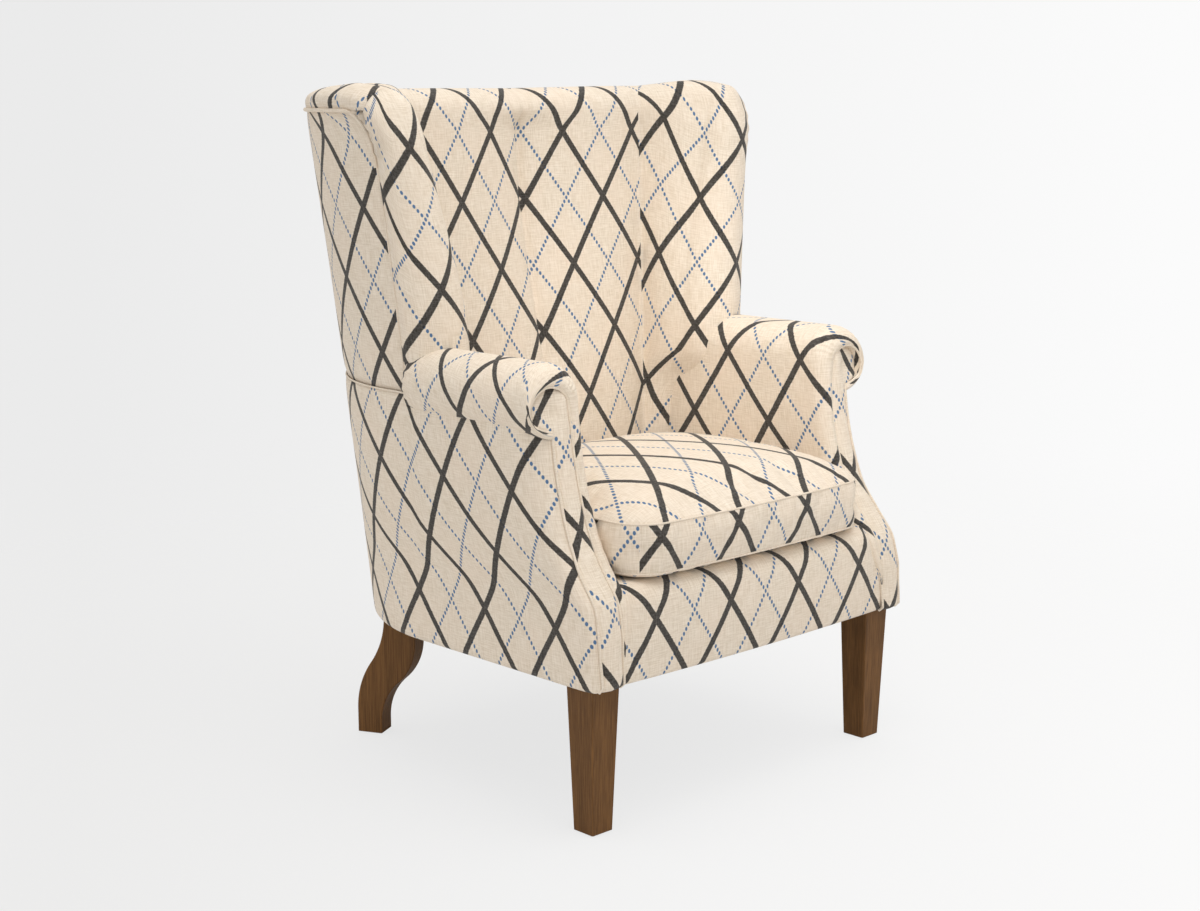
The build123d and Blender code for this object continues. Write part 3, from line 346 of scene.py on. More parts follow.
# %% Nodes of a material
class Nodes:
    """The nodes of one material, which lead to its shader."""

    def __init__(self, name):
        self.material = bpy.data.materials.new(name)
        self.material.use_nodes = True
        self.tree = self.material.node_tree
        self.shader = self.tree.nodes["Principled BSDF"]

    def add(self, kind, inputs=None, output=0, **settings):
        return make(self.tree, kind, inputs, **settings).outputs[output]

    def math(self, operation, a, b=0.0, c=0.0):
        return self.add("ShaderNodeMath", {0: a, 1: b, 2: c}, operation=operation)

    def ramp(self, value, low_in, high_in, low_out=0.0, high_out=1.0):
        inputs = {0: value, 1: low_in, 2: high_in, 3: low_out, 4: high_out}
        return self.add("ShaderNodeMapRange", inputs, interpolation_type="SMOOTHSTEP")

    def mix(self, factor, a, b):
        return self.add("ShaderNodeMix", {0: factor, 6: a, 7: b}, 2, data_type="RGBA")

    def noise(self, coordinate, scale, detail=2.0, rough=0.5):
        moved = self.add("ShaderNodeMapping", {"Vector": coordinate, "Scale": scale})
        return self.add("ShaderNodeTexNoise", {"Vector": moved, "Scale": 1.0, "Detail": detail,
                                               "Roughness": rough})

    def bump(self, height, strength, distance):
        normal = self.add("ShaderNodeBump", {"Strength": strength, "Distance": distance, "Height": height})
        self.tree.links.new(normal, self.shader.inputs["Normal"])

    def finish(self, colour, **sockets):
        put(self.tree, self.shader.inputs["Base Color"], colour)
        for name, value in sockets.items():
            put(self.tree, self.shader.inputs[name.replace("_", " ")], value)
        return self.material


def rgb(red, green, blue):
    """A colour as it is named on screen, 0 to 255, in the linear values that shaders take."""
    def linear(c):
        c = c / 255
        return c / 12.92 if c <= 0.04045 else ((c + 0.055) / 1.055) ** 2.4
    return (linear(red), linear(green), linear(blue), 1.0)


# %% [markdown]
# ## Printed linen
# The cloth is a cream, slubby plain weave: some yarns run thick and thin, which shows as short pale and
# dark streaks both ways. On it lies a plain trellis of chalky charcoal bars, and between them a trellis
# of round blue dots. Both are worked out from the cloth's own metres, so they bend with the padding. The
# ink breaks up a little where the yarns cross, as it does on a real print.

# %% Linen
TRELLIS_WIDE, TRELLIS_TALL = 0.150, 0.215
BAR_WIDTH, DOT_RADIUS, DOT_PITCH = 0.0100, 0.0026, 0.0075
YARN = 0.0011
LINEN_SHADE, LINEN_LIGHT, LINEN_BLUSH = rgb(220, 204, 182), rgb(246, 234, 218), rgb(241, 220, 199)
INK_DARK, INK_CHALK, INK_BLUE = rgb(38, 36, 35), rgb(92, 88, 84), rgb(62, 108, 152)


def linen(name, printed=True):
    n = Nodes(name)
    place = n.add("ShaderNodeUVMap", uv_map="cloth")
    u, v = make(n.tree, "ShaderNodeSeparateXYZ", {0: place}).outputs[:2]
    weft = n.noise(place, (45.0, 620.0, 1.0), 3.0, 0.65)
    warp = n.noise(place, (620.0, 38.0, 1.0), 3.0, 0.65)
    cloudy = n.noise(place, (9.0, 9.0, 1.0), 2.0)
    slub = n.math("MULTIPLY_ADD", warp, 0.5, n.math("MULTIPLY", weft, 0.5))
    colour = n.mix(n.ramp(slub, 0.34, 0.66), LINEN_SHADE, LINEN_LIGHT)
    colour = n.mix(n.math("MULTIPLY", n.ramp(cloudy, 0.35, 0.7), 0.25), colour, LINEN_BLUSH)
    if printed:
        wide, tall = n.math("DIVIDE", u, TRELLIS_WIDE), n.math("DIVIDE", v, TRELLIS_TALL)
        rise, fall = n.math("ADD", wide, tall), n.math("SUBTRACT", wide, tall)
        slope = math.hypot(1 / TRELLIS_WIDE, 1 / TRELLIS_TALL)
        side = math.hypot(TRELLIS_WIDE, TRELLIS_TALL) / 2
        dots = round(side / DOT_PITCH)
        ragged = n.math("MULTIPLY_ADD", slub, 0.0030, -0.0015)

        def off_line(value, shift):
            part = n.math("FRACT", n.math("ADD", value, shift))
            return n.math("ABSOLUTE", n.math("SUBTRACT", part, 0.5))

        def bar(value):
            away = n.math("MULTIPLY_ADD", off_line(value, 0.5), 1 / slope, ragged)
            return n.ramp(away, BAR_WIDTH / 2 + 0.0006, BAR_WIDTH / 2 - 0.0006)

        def dotted(value, along):
            away = n.math("MULTIPLY", off_line(value, 0.0), 1 / slope)
            step = n.math("MULTIPLY", off_line(n.math("MULTIPLY", along, float(dots)), 0.0), side / dots)
            far = n.math("SQRT", n.math("MULTIPLY_ADD", away, away, n.math("MULTIPLY", step, step)))
            return n.ramp(far, DOT_RADIUS + 0.0004, DOT_RADIUS - 0.0004)

        ink = n.math("MAXIMUM", bar(rise), bar(fall))
        blue = n.math("MAXIMUM", dotted(rise, fall), dotted(fall, rise))
        chalk = n.noise(place, (260.0, 260.0, 1.0), 4.0, 0.7)
        chalky = n.ramp(n.math("MULTIPLY_ADD", slub, 0.5, n.math("MULTIPLY", chalk, 0.5)), 0.42, 0.68)
        charcoal = n.mix(chalky, INK_DARK, INK_CHALK)
        colour = n.mix(n.math("MULTIPLY", blue, 0.94), colour, INK_BLUE)
        colour = n.mix(n.math("MULTIPLY", ink, 0.97), colour, charcoal)
    over = n.math("SINE", n.math("MULTIPLY", u, math.tau / YARN))
    under = n.math("SINE", n.math("MULTIPLY", v, math.tau / YARN))
    n.bump(n.math("MULTIPLY_ADD", n.math("MULTIPLY", over, under), 0.4, slub), 0.35, 0.0006)
    rough = n.ramp(slub, 0.3, 0.7, 0.92, 0.78)
    return n.finish(colour, Roughness=rough, Sheen_Weight=0.12, Sheen_Roughness=0.5, Specular_IOR_Level=0.25)


LINEN = linen("printed_linen")
PLAIN_LINEN = linen("plain_linen", False)


def upholster(obj, nodes, body="chair", material=LINEN):
    """Covers a piece with cloth, hangs it on its body and hides the nodes of the frame that it stands for.
    """
    obj.data.materials.clear()
    obj.data.materials.append(material)
    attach(obj, body)
    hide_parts(*nodes)
    print(obj.name, len(obj.data.polygons), "faces")
    return obj


# %% [markdown]
# ## Inside cover
# On the chair one cover runs round the inside: over the left wing's roll, across the back with its middle
# crease, over the right wing's roll, and up over the top edge to the outside. It could be cut into
# panels, but then the soft top corner of each wing would need stitching. Here it is one surface. Columns
# follow the plan of the inside from one outer seam to the other, rows go up, and at the top both the
# inner and the outer edge are rounded over and meet in a gently falling crest.

# %% Inside cover: plan
ROLL_STEPS, SIDE_STEPS, BACK_STEPS = 44, 14, 26
RIM_STEPS = SIDE_STEPS + BACK_STEPS
EDGE, DOME = 0.045, 0.075
CREST, CREST_DEPTH, CREST_FALL, CREST_TILT = 0.0410, 0.430, 0.105, 0.010
OUTER_REACH = 0.034
CORNER_ROUND, PATCH_LAP, PATCH_SINK = 0.060, 0.006, 0.006
CREST_CROWN, WING_ROUND = 0.002, 1.6
WING_FOOT, TONGUE_FOOT = 0.600, 0.335
WING_BOW, FOOT_TUCK, TUCK_RUN = 0.006, 0.004, 0.06
MIDDLE_DENT, MIDDLE_WIDTH = 0.007, 0.007
CROWN_TOP, CROWN_FADE = 0.965, 0.040
WING_PRINT, BACK_PRINT = 0.385, 0.009
TONGUE = ((0.300, 0.396), (0.458, 0.394), (0.514, 0.389), (0.566, 0.366), (0.600, 0.3454))


def crest_height(y):
    """The top falls gently to the back, and is rounded off towards the front of the wings."""
    behind, ahead = max(0.0, y - CREST_DEPTH), max(0.0, CREST_DEPTH - y)
    return BORDER_SEAM + CREST - CREST_FALL * behind - WING_ROUND * ahead ** 2


def inside_plan(z, inset=0.0):
    """Right half of the inside in plan: the roll from its outer seam, the wing, half of the back."""
    axis_x, axis_y = roll_axis(z)
    turn = math.pi * np.linspace(0, 1, ROLL_STEPS + 1)
    radius = roll_radius(z) - inset
    roll = np.stack([axis_x + radius * np.cos(turn), axis_y - radius * np.sin(turn)], 1)
    if z < WING_FOOT:
        depth = on_table(TONGUE, z)
        tuck = float(smooth((WING_FOOT - z) / TUCK_RUN))
        roll = roll + (np.array([ARM_INSIDE + FOOT_TUCK, depth]) - roll[-1]) * np.array([tuck, 1.0])
    x, y = corner(z)
    knee = np.array([x + inset, y + inset])
    share = np.linspace(0, 1, SIDE_STEPS + 1)[1:, None]
    bow = WING_BOW * np.sin(math.pi * share)
    wing = roll[-1] + (knee - roll[-1]) * share - np.concatenate([bow, 0.5 * bow], 1)
    t = 1 - (1 - np.linspace(0, 1, BACK_STEPS + 1)[1:]) ** 1.3
    fade = float(smooth((z - CROWN_TOP) / CROWN_FADE))
    lobe = 1 - np.abs(2 * t - 1) ** 2.4
    crown = PILLOW_CROWN * (lobe + (np.where(t < 0.5, lobe, 1.0) - lobe) * fade)
    back = knee + (np.array([0.0, crease(z) + inset]) - knee) * t[:, None]
    back[:, 1] += MIDDLE_DENT * np.exp(-(back[:, 0] / MIDDLE_WIDTH) ** 2) * (1 - fade) - crown
    return np.concatenate([roll, wing, back])


def whole(right):
    """Both halves of a row that ends on the middle line."""
    left = right[:-1] * np.array([-1.0, 1.0, 1.0])
    return np.concatenate([right, left[::-1]])


# %% Inside cover: crest
def round_over(t, reach):
    """A quarter round: how far in, and which share of the rise."""
    return reach * (1 - math.cos(t * math.pi / 2)), math.sin(t * math.pi / 2)


def inner_loop(t):
    """Right half of one loop over the inner edge. The wing's roll ends in a dome."""
    def place(column, inset, z):
        outside, inside = (inside_plan(min(z, BORDER_SEAM), depth)[column] for depth in (0.0, EDGE))
        return outside + (inside - outside) * inset / EDGE

    points = []
    for column in range(ROLL_STEPS + RIM_STEPS + 1):
        share = 1 - smooth(4 * column / ROLL_STEPS)
        dome = 1 - smooth((column - ROLL_STEPS) / SIDE_STEPS)
        inset, rise = round_over(t, EDGE * (1 - 0.10 * dome))
        inset += (round_over(t, OUTER_REACH)[0] - inset) * share
        top = crest_height(place(column, inset, BORDER_SEAM)[1])
        foot = top - EDGE - (DOME - EDGE) * dome
        foot += (BORDER_SEAM - foot) * share
        z = foot + (top - foot) * rise
        points.append((*place(column, inset, z), z))
    return np.array(points)


def outer_loop(t):
    """Right half of one loop over the outer edge, from the wing's seam to the middle of the back."""
    inset, rise = round_over(t, OUTER_REACH)
    line = barrel_line(BORDER_SEAM, inset)
    rim = spaced(line, at_depth(line, roll_axis(BORDER_SEAM)[1]), lengths(line)[-1], RIM_STEPS + 1)
    return np.array([(x, y, BORDER_SEAM + (crest_height(y) - BORDER_SEAM) * rise) for x, y in rim])


# %% [markdown]
# The cover is sewn from four panels: two halves of the back that meet in the crease, and the two wings. Each
# panel has its own datum on the cloth, so the print breaks at those seams. At the wing's upper front corner
# the outer seam is rounded, and the spare cloth is gathered towards it in fine pleats.

# %% Inside cover: mesh
def lay(cloth, grid, roll, front, start=None, end=None):
    """Adds rows of the inside as four panels. roll: how many columns the wing's roll has here. front: its
    foremost column. start or end: height on the cloth of the first or last row."""
    last = grid.shape[1] - 1
    middle, knee = last // 2, roll + SIDE_STEPS
    for first, stop, datum, move in ((0, knee, front, WING_PRINT), (knee, middle, middle, BACK_PRINT),
                                     (middle, last - knee, middle, -BACK_PRINT),
                                     (last - knee, last, last - front, -WING_PRINT)):
        part = grid[:, first:stop + 1]
        places = on_cloth(part, datum - first, (move, 0.0))
        places[..., 1] += start if end is None else end - places[-1, 0, 1]
        cloth.grid(part, places)


def corner_patch(cloth):
    """Cloth behind the rounded corner of each outside wing panel."""
    steps = np.linspace(0, CORNER_ROUND + PATCH_LAP, 21)
    rows = []
    for drop in steps:
        z = BORDER_SEAM - drop
        row = []
        for back in steps:
            away = math.hypot(max(0.0, CORNER_ROUND - back), max(0.0, CORNER_ROUND - drop))
            sink = PATCH_SINK * smooth((CORNER_ROUND - away) / 0.005)
            row.append((half_width(z) - sink, roll_axis(z)[1] + back, z))
        rows.append(row)
    rows = np.array(rows)
    for sign in (1, -1):
        cloth.grid(rows * np.array([sign, 1, 1]), on_cloth(rows, 0, (sign * 0.45, 1.0)))


RIM_LINE = barrel_line(BORDER_SEAM)
PROUD_SIDE, PROUD_TOP, PROUD_NEAR, PROUD_FAR = 0.0042, 0.0048, 0.016, 0.034
GATHER_DEPTH, GATHER_RATE = 0.0019, 26


def seam_relief(x, y, z):
    """By the outer seam the padding stands proud, and round its corner the cloth is gathered."""
    depth, height = roll_axis(BORDER_SEAM)[1] + CORNER_ROUND, BORDER_SEAM - CORNER_ROUND
    ahead, above = depth - y, z - height
    angle = math.atan2(above, ahead)
    if z < height:
        away = roll_axis(z)[1] - y
    elif y > depth:
        away = z - BORDER_SEAM
    else:
        away = math.hypot(ahead, above) - CORNER_ROUND
    if away <= 0 or z < WING_FOOT:
        return 0.0
    inside = np.min(np.hypot(*(RIM_LINE - (x, y)).T)) - TOP_HALF_WIDTH + half_width(z)
    outer = 1 - smooth((inside - 0.022) / 0.020)
    proud = PROUD_SIDE + PROUD_TOP * smooth((above + 0.030) / 0.060)
    proud *= smooth(away / PROUD_NEAR) * (1 - smooth((away - PROUD_NEAR) / PROUD_FAR))
    fade = smooth(away / 0.005) * (1 - smooth((away - 0.008) / 0.045)) * smooth((x - 0.310) / 0.030)
    turn = smooth((angle + 0.2) / 0.4) * smooth((1.8 - angle) / 0.4)
    gather = GATHER_DEPTH * math.sin(GATHER_RATE * angle) * fade * turn
    return outer * (proud * smooth((z - WING_FOOT) / 0.05) + gather)


def inside_cover():
    """The tongue down to the seat, the inside up to the crest, the top edge and the wings' corners."""
    cloth = Cloth()
    rows = []
    for z in np.linspace(TONGUE_FOOT, WING_FOOT, 22):
        plan = inside_plan(z)[ROLL_STEPS // 2:]
        rows.append(whole(np.column_stack([plan, np.full(len(plan), z)])))
    lay(cloth, np.stack(rows), ROLL_STEPS // 2, 0, end=WING_FOOT)
    base = inner_loop(0.0)
    rows = []
    for share in 1 - (1 - np.linspace(0, 1, 52)[:-1]) ** 1.5:
        heights = WING_FOOT + (base[:, 2] - WING_FOOT) * share
        rows.append(whole(np.array([(*inside_plan(z)[c], z) for c, z in enumerate(heights)])))
    loops = [whole(inner_loop(t)) for t in np.linspace(0, 1, 17)]
    lay(cloth, np.stack(rows + loops), ROLL_STEPS, ROLL_STEPS // 2, start=WING_FOOT)
    outer = np.stack([whole(outer_loop(t)) for t in np.linspace(0, 1, 15)])
    inner = loops[-1][ROLL_STEPS:len(loops[-1]) - ROLL_STEPS]
    steps = np.linspace(0, 1, 10)[1:]
    rungs = np.stack([outer[-1] + (inner - outer[-1]) * t for t in steps])
    column = np.minimum(np.arange(2 * RIM_STEPS + 1), np.arange(2 * RIM_STEPS + 1)[::-1])
    rungs[:, :, 2] += CREST_CROWN * np.sin(math.pi * steps)[:, None] * smooth(column / 6)[None, :]
    top = np.concatenate([outer, rungs])
    places = on_cloth(top, RIM_STEPS, (0.04, BORDER_SEAM))
    places[:, :, 0] = places[0, :, 0]
    cloth.grid(top, places)
    rung = np.concatenate([outer[-1:, 0], rungs[:, 0]])
    for sign in (1, -1):
        ring = np.concatenate([loops[-1][:ROLL_STEPS + 1], rung[::-1][1:-1]]) * np.array([sign, 1, 1])
        cloth.add(ring, ring[:, :2] + 0.3, [list(range(len(ring)))])
    corner_patch(cloth)
    cloth.points = [(x, y, z + CREST_TILT * x * smooth((z - BORDER_SEAM) / 0.03))
                    for x, y, z in cloth.points]
    return cloth


INSIDE = inside_cover().mesh("inside_cover", ((0.11, 0.40, 0.7), (0, -1, 0)), relief=seam_relief)
upholster(INSIDE, ["inside_back", "wing_pad_left", "wing_pad_right", "top_border"])

# %% [markdown]
# ## Outside panels
# The outside of the barrel is covered by five panels: two under the arms, two on the wings and one across
# the back. Each is padded thinly and sewn along its edges, so it swells a few millimetres between its
# seams. The wing panel's upper front corner is rounded, and the lower panels wrap under the seat frame.

# %% Outside panels
UNDER_ROUND, UNDER_LAP = 0.008, 0.024
SEAM_DEPTH, SEAM_DROP = 0.006, 0.012
WING_COLUMNS, ARM_COLUMNS, BACK_COLUMNS, SWEEP_POINTS = 64, 90, 61, 20
SWEEP_LOW, SWEEP_MORE = 0.014, 0.061
PANEL_SWELL, PANEL_REACH = 0.0040, 0.014
BACK_SWELL, BACK_REACH = 0.0035, 0.012
FACING_OUTER = ((0.200, 0.3275), (0.250, 0.3293), (0.290, 0.3305), (0.320, 0.3278), (0.350, 0.3265),
                (0.380, 0.3250), (0.410, 0.3205), (0.450, 0.3195), (0.480, 0.3185), (0.600, 0.3180))


def seam_depth(z):
    """How deep the arm front's seams lie. They run out towards the bottom."""
    return SEAM_DEPTH * (0.25 + 0.75 * float(smooth((z - COVER_BOTTOM) / 0.060)))


def foot_round(z):
    """How far a cover turns in at its lower edge."""
    up = min(1.0, (z - COVER_BOTTOM) / UNDER_ROUND)
    return UNDER_ROUND * (1 - math.sqrt(1 - (1 - up) ** 2))


# %% Outside panels: wing
def wing_rows():
    """Rows up the outside wing. The upper ones start further back, along the rounded corner."""
    rows = []
    for share in np.linspace(0, 1, 44):
        z = SIDE_SEAM + (BORDER_SEAM - SIDE_SEAM) * (1 - (1 - share) ** 1.6)
        over = max(0.0, z - (BORDER_SEAM - CORNER_ROUND))
        cut = CORNER_ROUND - math.sqrt(max(0.0, CORNER_ROUND ** 2 - over ** 2))
        line = barrel_line(z)
        row = spaced(line, at_depth(line, roll_axis(z)[1] + cut), at_across(line, BACK_SEAM), WING_COLUMNS)
        rows.append(np.column_stack([row, np.full(WING_COLUMNS, z)]))
    return np.stack(rows)


# %% Outside panels: arm
def under_rows(line_at, count):
    """Rows that wrap under the seat frame, from the inner edge of the lap to the outside."""
    rows = []
    for inset in np.linspace(UNDER_LAP, UNDER_ROUND, 4)[:-1]:
        rows.append((line_at(COVER_BOTTOM, inset, count), COVER_BOTTOM))
    for angle in np.linspace(0, math.pi / 2, 7):
        inset = UNDER_ROUND * (1 - math.sin(angle))
        z = COVER_BOTTOM + UNDER_ROUND * (1 - math.cos(angle))
        rows.append((line_at(z, inset, count), z))
    return [np.column_stack([row, np.full(count, z)]) for row, z in rows]


def arm_line(z, inset, count):
    """The outside arm in plan: from the facing's outer seam it sweeps out to the barrel's side."""
    edge, front = on_table(FACING_OUTER, z), arm_front(z) + seam_depth(z)
    reach = SWEEP_LOW + SWEEP_MORE * float(smooth((z - 0.29) / 0.16))
    out = half_width(z) - edge
    t = np.linspace(0, 1, SWEEP_POINTS) ** 1.4
    bend = 1 - (1 - t) ** max(1.2, 1.4 * reach / out)
    sweep = np.stack([edge + out * bend - inset, front + inset + (reach - inset) * t], 1)
    line = barrel_line(z, inset)
    side = spaced(line, at_depth(line, front + reach), at_across(line, BACK_SEAM), count - SWEEP_POINTS + 1)
    return np.concatenate([sweep[:-1], side])


def arm_rows():
    """Rows up the outside arm. Under the arm's roll the panel ends a little below the side seam."""
    rows = under_rows(arm_line, ARM_COLUMNS)
    low_z = COVER_BOTTOM + UNDER_ROUND
    for share in np.linspace(0, 1, 40)[1:]:
        plan = arm_line(low_z + (SIDE_SEAM - low_z) * share, 0.0, ARM_COLUMNS)
        front = 1 - smooth((plan[:, 1] - 0.325) / 0.020)
        tops = SIDE_SEAM - SEAM_DROP * front
        heights = low_z + (tops - low_z) * share
        plan = np.array([arm_line(z, 0.0, ARM_COLUMNS)[c] for c, z in enumerate(heights)])
        rows.append(np.column_stack([plan, heights]))
    return np.stack(rows)


# %% Outside panels: back
def back_line(z, inset, count):
    line = barrel_line(z, inset)
    half = spaced(line, at_across(line, BACK_SEAM), lengths(line)[-1], count // 2 + 1)
    left = half[:-1] * np.array([-1.0, 1.0])
    return np.concatenate([half, left[::-1]])


def back_rows():
    rows = under_rows(back_line, BACK_COLUMNS)
    for z in np.linspace(COVER_BOTTOM + UNDER_ROUND, BORDER_SEAM, 70)[1:]:
        rows.append(np.column_stack([back_line(z, 0.0, BACK_COLUMNS), np.full(BACK_COLUMNS, z)]))
    return np.stack(rows)


# %% Outside panels: covers
for name, rows, way, shift, sunk in (("outside_wing", wing_rows(), (1, 0.5, 0), (0.03, 0.05), 0.0022),
                                     ("outside_arm", arm_rows(), (1, 0.2, 0), (0.0, 0.0), 0.0)):
    padded_rows = swell(rows, way, PANEL_SWELL, PANEL_REACH) - outward(rows, way) * sunk
    for mirrored, side in ((False, "right"), (True, "left")):
        cloth = Cloth()
        cloth.grid(padded_rows, on_cloth(rows, 0, shift))
        spot = rows[rows.shape[0] // 2, rows.shape[1] // 2]
        piece = cloth.mesh(f"{name}_{side}_cover", (spot, way), mirrored=mirrored)
        upholster(piece, [f"{name}_{side}"])
rows = back_rows()
cloth = Cloth()
cloth.grid(swell(rows, (0, 1, 0), BACK_SWELL, BACK_REACH), on_cloth(rows, BACK_COLUMNS // 2))
upholster(cloth.mesh("outside_back_cover", (rows[40, BACK_COLUMNS // 2], (0, 1, 0))), ["outside_back"])

# %% [markdown]
# ## Arms
# The inside arm's cover comes up from the seat, over the roll and under it to the seam with the outside
# panel. At the front it turns over a soft edge to the facing, and on the round of the scroll the spare
# cloth is gathered into small pleats. Each column of the grid is one point of the arm's section. It runs
# forward along the arm and then bends over that edge to its own point on the facing's outline.

# %% Arms: section and facing outline
ARM_SILL, SILL_TUCK = 0.262, 0.026
ROLL_REAR, ROLL_SHORTER, REAR_SHRINK, REAR_GATHER = 0.415, 0.063, 0.013, 0.0010
PLEAT_DEPTH, HOLLOW_PLEAT = 0.0011, 0.0008
FACING_SWELL, FACING_REACH, FACING_STEP, SCROLL_HOLLOW = 0.0075, 0.008, 0.0045, 0.012
INNER_EDGE = ((0.218, 0.288), (0.330, 0.284), (0.420, 0.281), (0.520, 0.281), (0.570, 0.283),
              (0.607, 0.2875))
HEAD = ((-80, 0.0420), (-60, 0.0440), (-44, 0.0474), (-31, 0.0515), (-10, 0.0500), (17, 0.0386),
        (40, 0.0305), (63, 0.0246), (90, 0.0200), (126, 0.0186), (150, 0.0202), (180, 0.0235))
UPRIGHT_STEPS, SCROLL_STEPS = 40, 104
SCROLL_END = math.radians(-80)


def arm_section():
    """Points of the section, and for each its point on the facing's outline and its angle on the roll."""
    section, outline, angles = [], [], []
    for z in np.linspace(ARM_SILL, SCROLL_Z, UPRIGHT_STEPS + 1)[:-1]:
        section.append((ARM_INSIDE + SILL_TUCK * float(smooth((0.350 - z) / 0.088)), z))
        outline.append((on_table(INNER_EDGE, z), z))
        angles.append(math.pi)
    for angle in np.linspace(math.pi, SCROLL_END, SCROLL_STEPS + 1):
        way = np.array([math.cos(angle), math.sin(angle)])
        reach = on_table(HEAD, math.degrees(angle))
        section.append(np.array([SCROLL_X, SCROLL_Z]) + SCROLL_RADIUS * way)
        outline.append(np.array([SCROLL_X, SCROLL_Z]) + reach * way)
        angles.append(angle)
    return np.array(section), np.array(outline), np.array(angles)


def pleats(angle, z):
    """Gathers of the cloth over the arm's front edge: on the scroll and in the hollow below it."""
    on_roll = smooth((math.pi - angle) / 0.4) * smooth((angle - 0.3) / 0.6)
    hollow = smooth((z - 0.36) / 0.05) * smooth((0.54 - z) / 0.06) if angle == math.pi else 0.0
    return PLEAT_DEPTH * on_roll * math.cos(30 * angle) + HOLLOW_PLEAT * hollow * math.sin(z * 310)


# %% Arms: cover
def arm_cover():
    """Rows along the arm, over its front edge and down into the facing's seam."""
    section, outline, angles = arm_section()
    edge = np.maximum(np.linalg.norm(outline - section, axis=1), 1e-6)
    lip = np.minimum(SEAM_DEPTH, 0.4 * edge)
    brow = outline + (section - outline) / edge[:, None] * lip[:, None]
    depth = np.maximum(0.004, 0.95 * edge)
    rear = ROLL_REAR - ROLL_SHORTER * smooth((math.pi / 2 + 0.5 - angles) / 0.5)
    rows = []
    for share in smooth(np.linspace(0, 1, 32)):
        row = []
        for c, (x, z) in enumerate(section):
            y = rear[c] + (arm_front(z) + depth[c] - rear[c]) * share
            gather = REAR_GATHER * smooth((y - 0.318) / 0.016) * math.cos(26 * angles[c])
            shrink = REAR_SHRINK * smooth((y - 0.335) / 0.015) + gather
            shrink = shrink * smooth((math.pi / 2 - angles[c]) / 0.5)
            row.append((x - shrink * math.cos(angles[c]), y, z - shrink * math.sin(angles[c])))
        rows.append(row)
    for t in np.linspace(0, 1, 12)[1:]:
        turn = t * math.pi / 2
        row = []
        for c in range(len(section)):
            x, z = section[c] + (brow[c] - section[c]) * (1 - math.cos(turn))
            ripple = pleats(angles[c], z) * math.sin(math.pi * (0.15 + 0.85 * t)) ** 0.7
            row.append((x, arm_front(z) + depth[c] * (1 - math.sin(turn)) - ripple, z))
        rows.append(row)
    centre = np.array([SCROLL_X + 0.006, SCROLL_Z - 0.012])
    for t, sink, inward in ((0.5, 0, 0), (1.0, 0, 0), (1.0, 0.006, 0.002), (1.0, 0.016, 0.004)):
        row = []
        for c in range(len(section)):
            x, z = brow[c] + (outline[c] - brow[c]) * math.sin(t * math.pi / 2)
            toward = centre - (x, z) if angles[c] < math.pi else np.array([1.0, 0.0])
            x, z = np.array([x, z]) + inward * toward / np.linalg.norm(toward)
            row.append((x, arm_front(z) + SEAM_DEPTH * (1 - math.cos(t * math.pi / 2)) + sink, z))
        rows.append(row)
    return np.array(rows)


def facing_outline():
    _, outline, _ = arm_section()
    foot = [(on_table(INNER_EDGE, z), z) for z in np.linspace(COVER_BOTTOM, ARM_SILL, 8)[:-1]]
    stile = [(on_table(FACING_OUTER, z), z) for z in np.linspace(0.560, COVER_BOTTOM, 48)]
    return np.array(foot + outline.tolist() + stile)


# %% Arms: facing
def facing():
    """A filled outline, padded by the distance from its edge and laid on the arm's curved front."""
    ring = facing_outline()
    xs = np.arange(ring[:, 0].min(), ring[:, 0].max(), FACING_STEP)
    zs = np.arange(ring[:, 1].min(), ring[:, 1].max(), FACING_STEP)
    inside = [(x + FACING_STEP / 2 * (j % 2), z) for j, z in enumerate(zs) for x in xs]
    spots = [Vector(p) for p in ring.tolist() + inside]
    closed = [(i, (i + 1) % len(ring)) for i in range(len(ring))]
    points, _, faces, *_ = geometry.delaunay_2d_cdt(spots, closed, [], 1, 1e-6)
    flat = np.array([p[:] for p in points])
    start, step = ring[:-1], np.diff(ring, axis=0)
    size = np.maximum(np.sum(step ** 2, axis=1), 1e-12)
    shaped = []
    for x, z in flat:
        t = np.clip(np.sum(((x, z) - start) * step, axis=1) / size, 0, 1)
        away = np.min(np.linalg.norm(start + t[:, None] * step - (x, z), axis=1))
        hollow = SCROLL_HOLLOW * smooth((z - 0.565) / 0.030) * smooth((x - 0.294) / 0.030)
        depth = arm_front(z) + seam_depth(z) + foot_round(z) + hollow
        shaped.append((x, depth - FACING_SWELL * (1 - math.exp(-away / FACING_REACH)), z))
    cloth = Cloth()
    cloth.add(shaped, flat, faces)
    return cloth


rows = arm_cover()
places = on_cloth(rows, UPRIGHT_STEPS)[..., ::-1]
for mirrored, side in ((False, "right"), (True, "left")):
    cloth = Cloth()
    cloth.grid(rows, places)
    piece = cloth.mesh(f"arm_cover_{side}", ((SCROLL_X, 0.2, SCROLL_Z + SCROLL_RADIUS), (0, 0, 1)),
                       mirrored=mirrored)
    upholster(piece, [f"arm_pad_{side}"])
    piece = facing().mesh(f"arm_facing_{side}_cover", ((0.3, 0.0, 0.4), (0, -1, 0)), mirrored=mirrored)
    upholster(piece, [f"arm_facing_{side}"])

# %% [markdown]
# ## Front border and deck
# Below the cushion the front border is pulled over a roll, runs back to a seam and goes on as the deck
# that the cushion lies on. It bows forward a little in the middle. At the bottom it wraps under the rail.

# %% Front border
BORDER_HALF, BORDER_ROLL, BORDER_EDGE = 0.2865, 0.034, 0.2935
BORDER_FRONT, BORDER_BOW, BORDER_BACK = -0.044, 0.008, 0.062
BORDER_COLUMNS, END_TURN = 91, 1.2
END_START, END_RUN, BORDER_PUFF, SEAM_INSET = 0.246, 0.030, 0.0025, 0.107


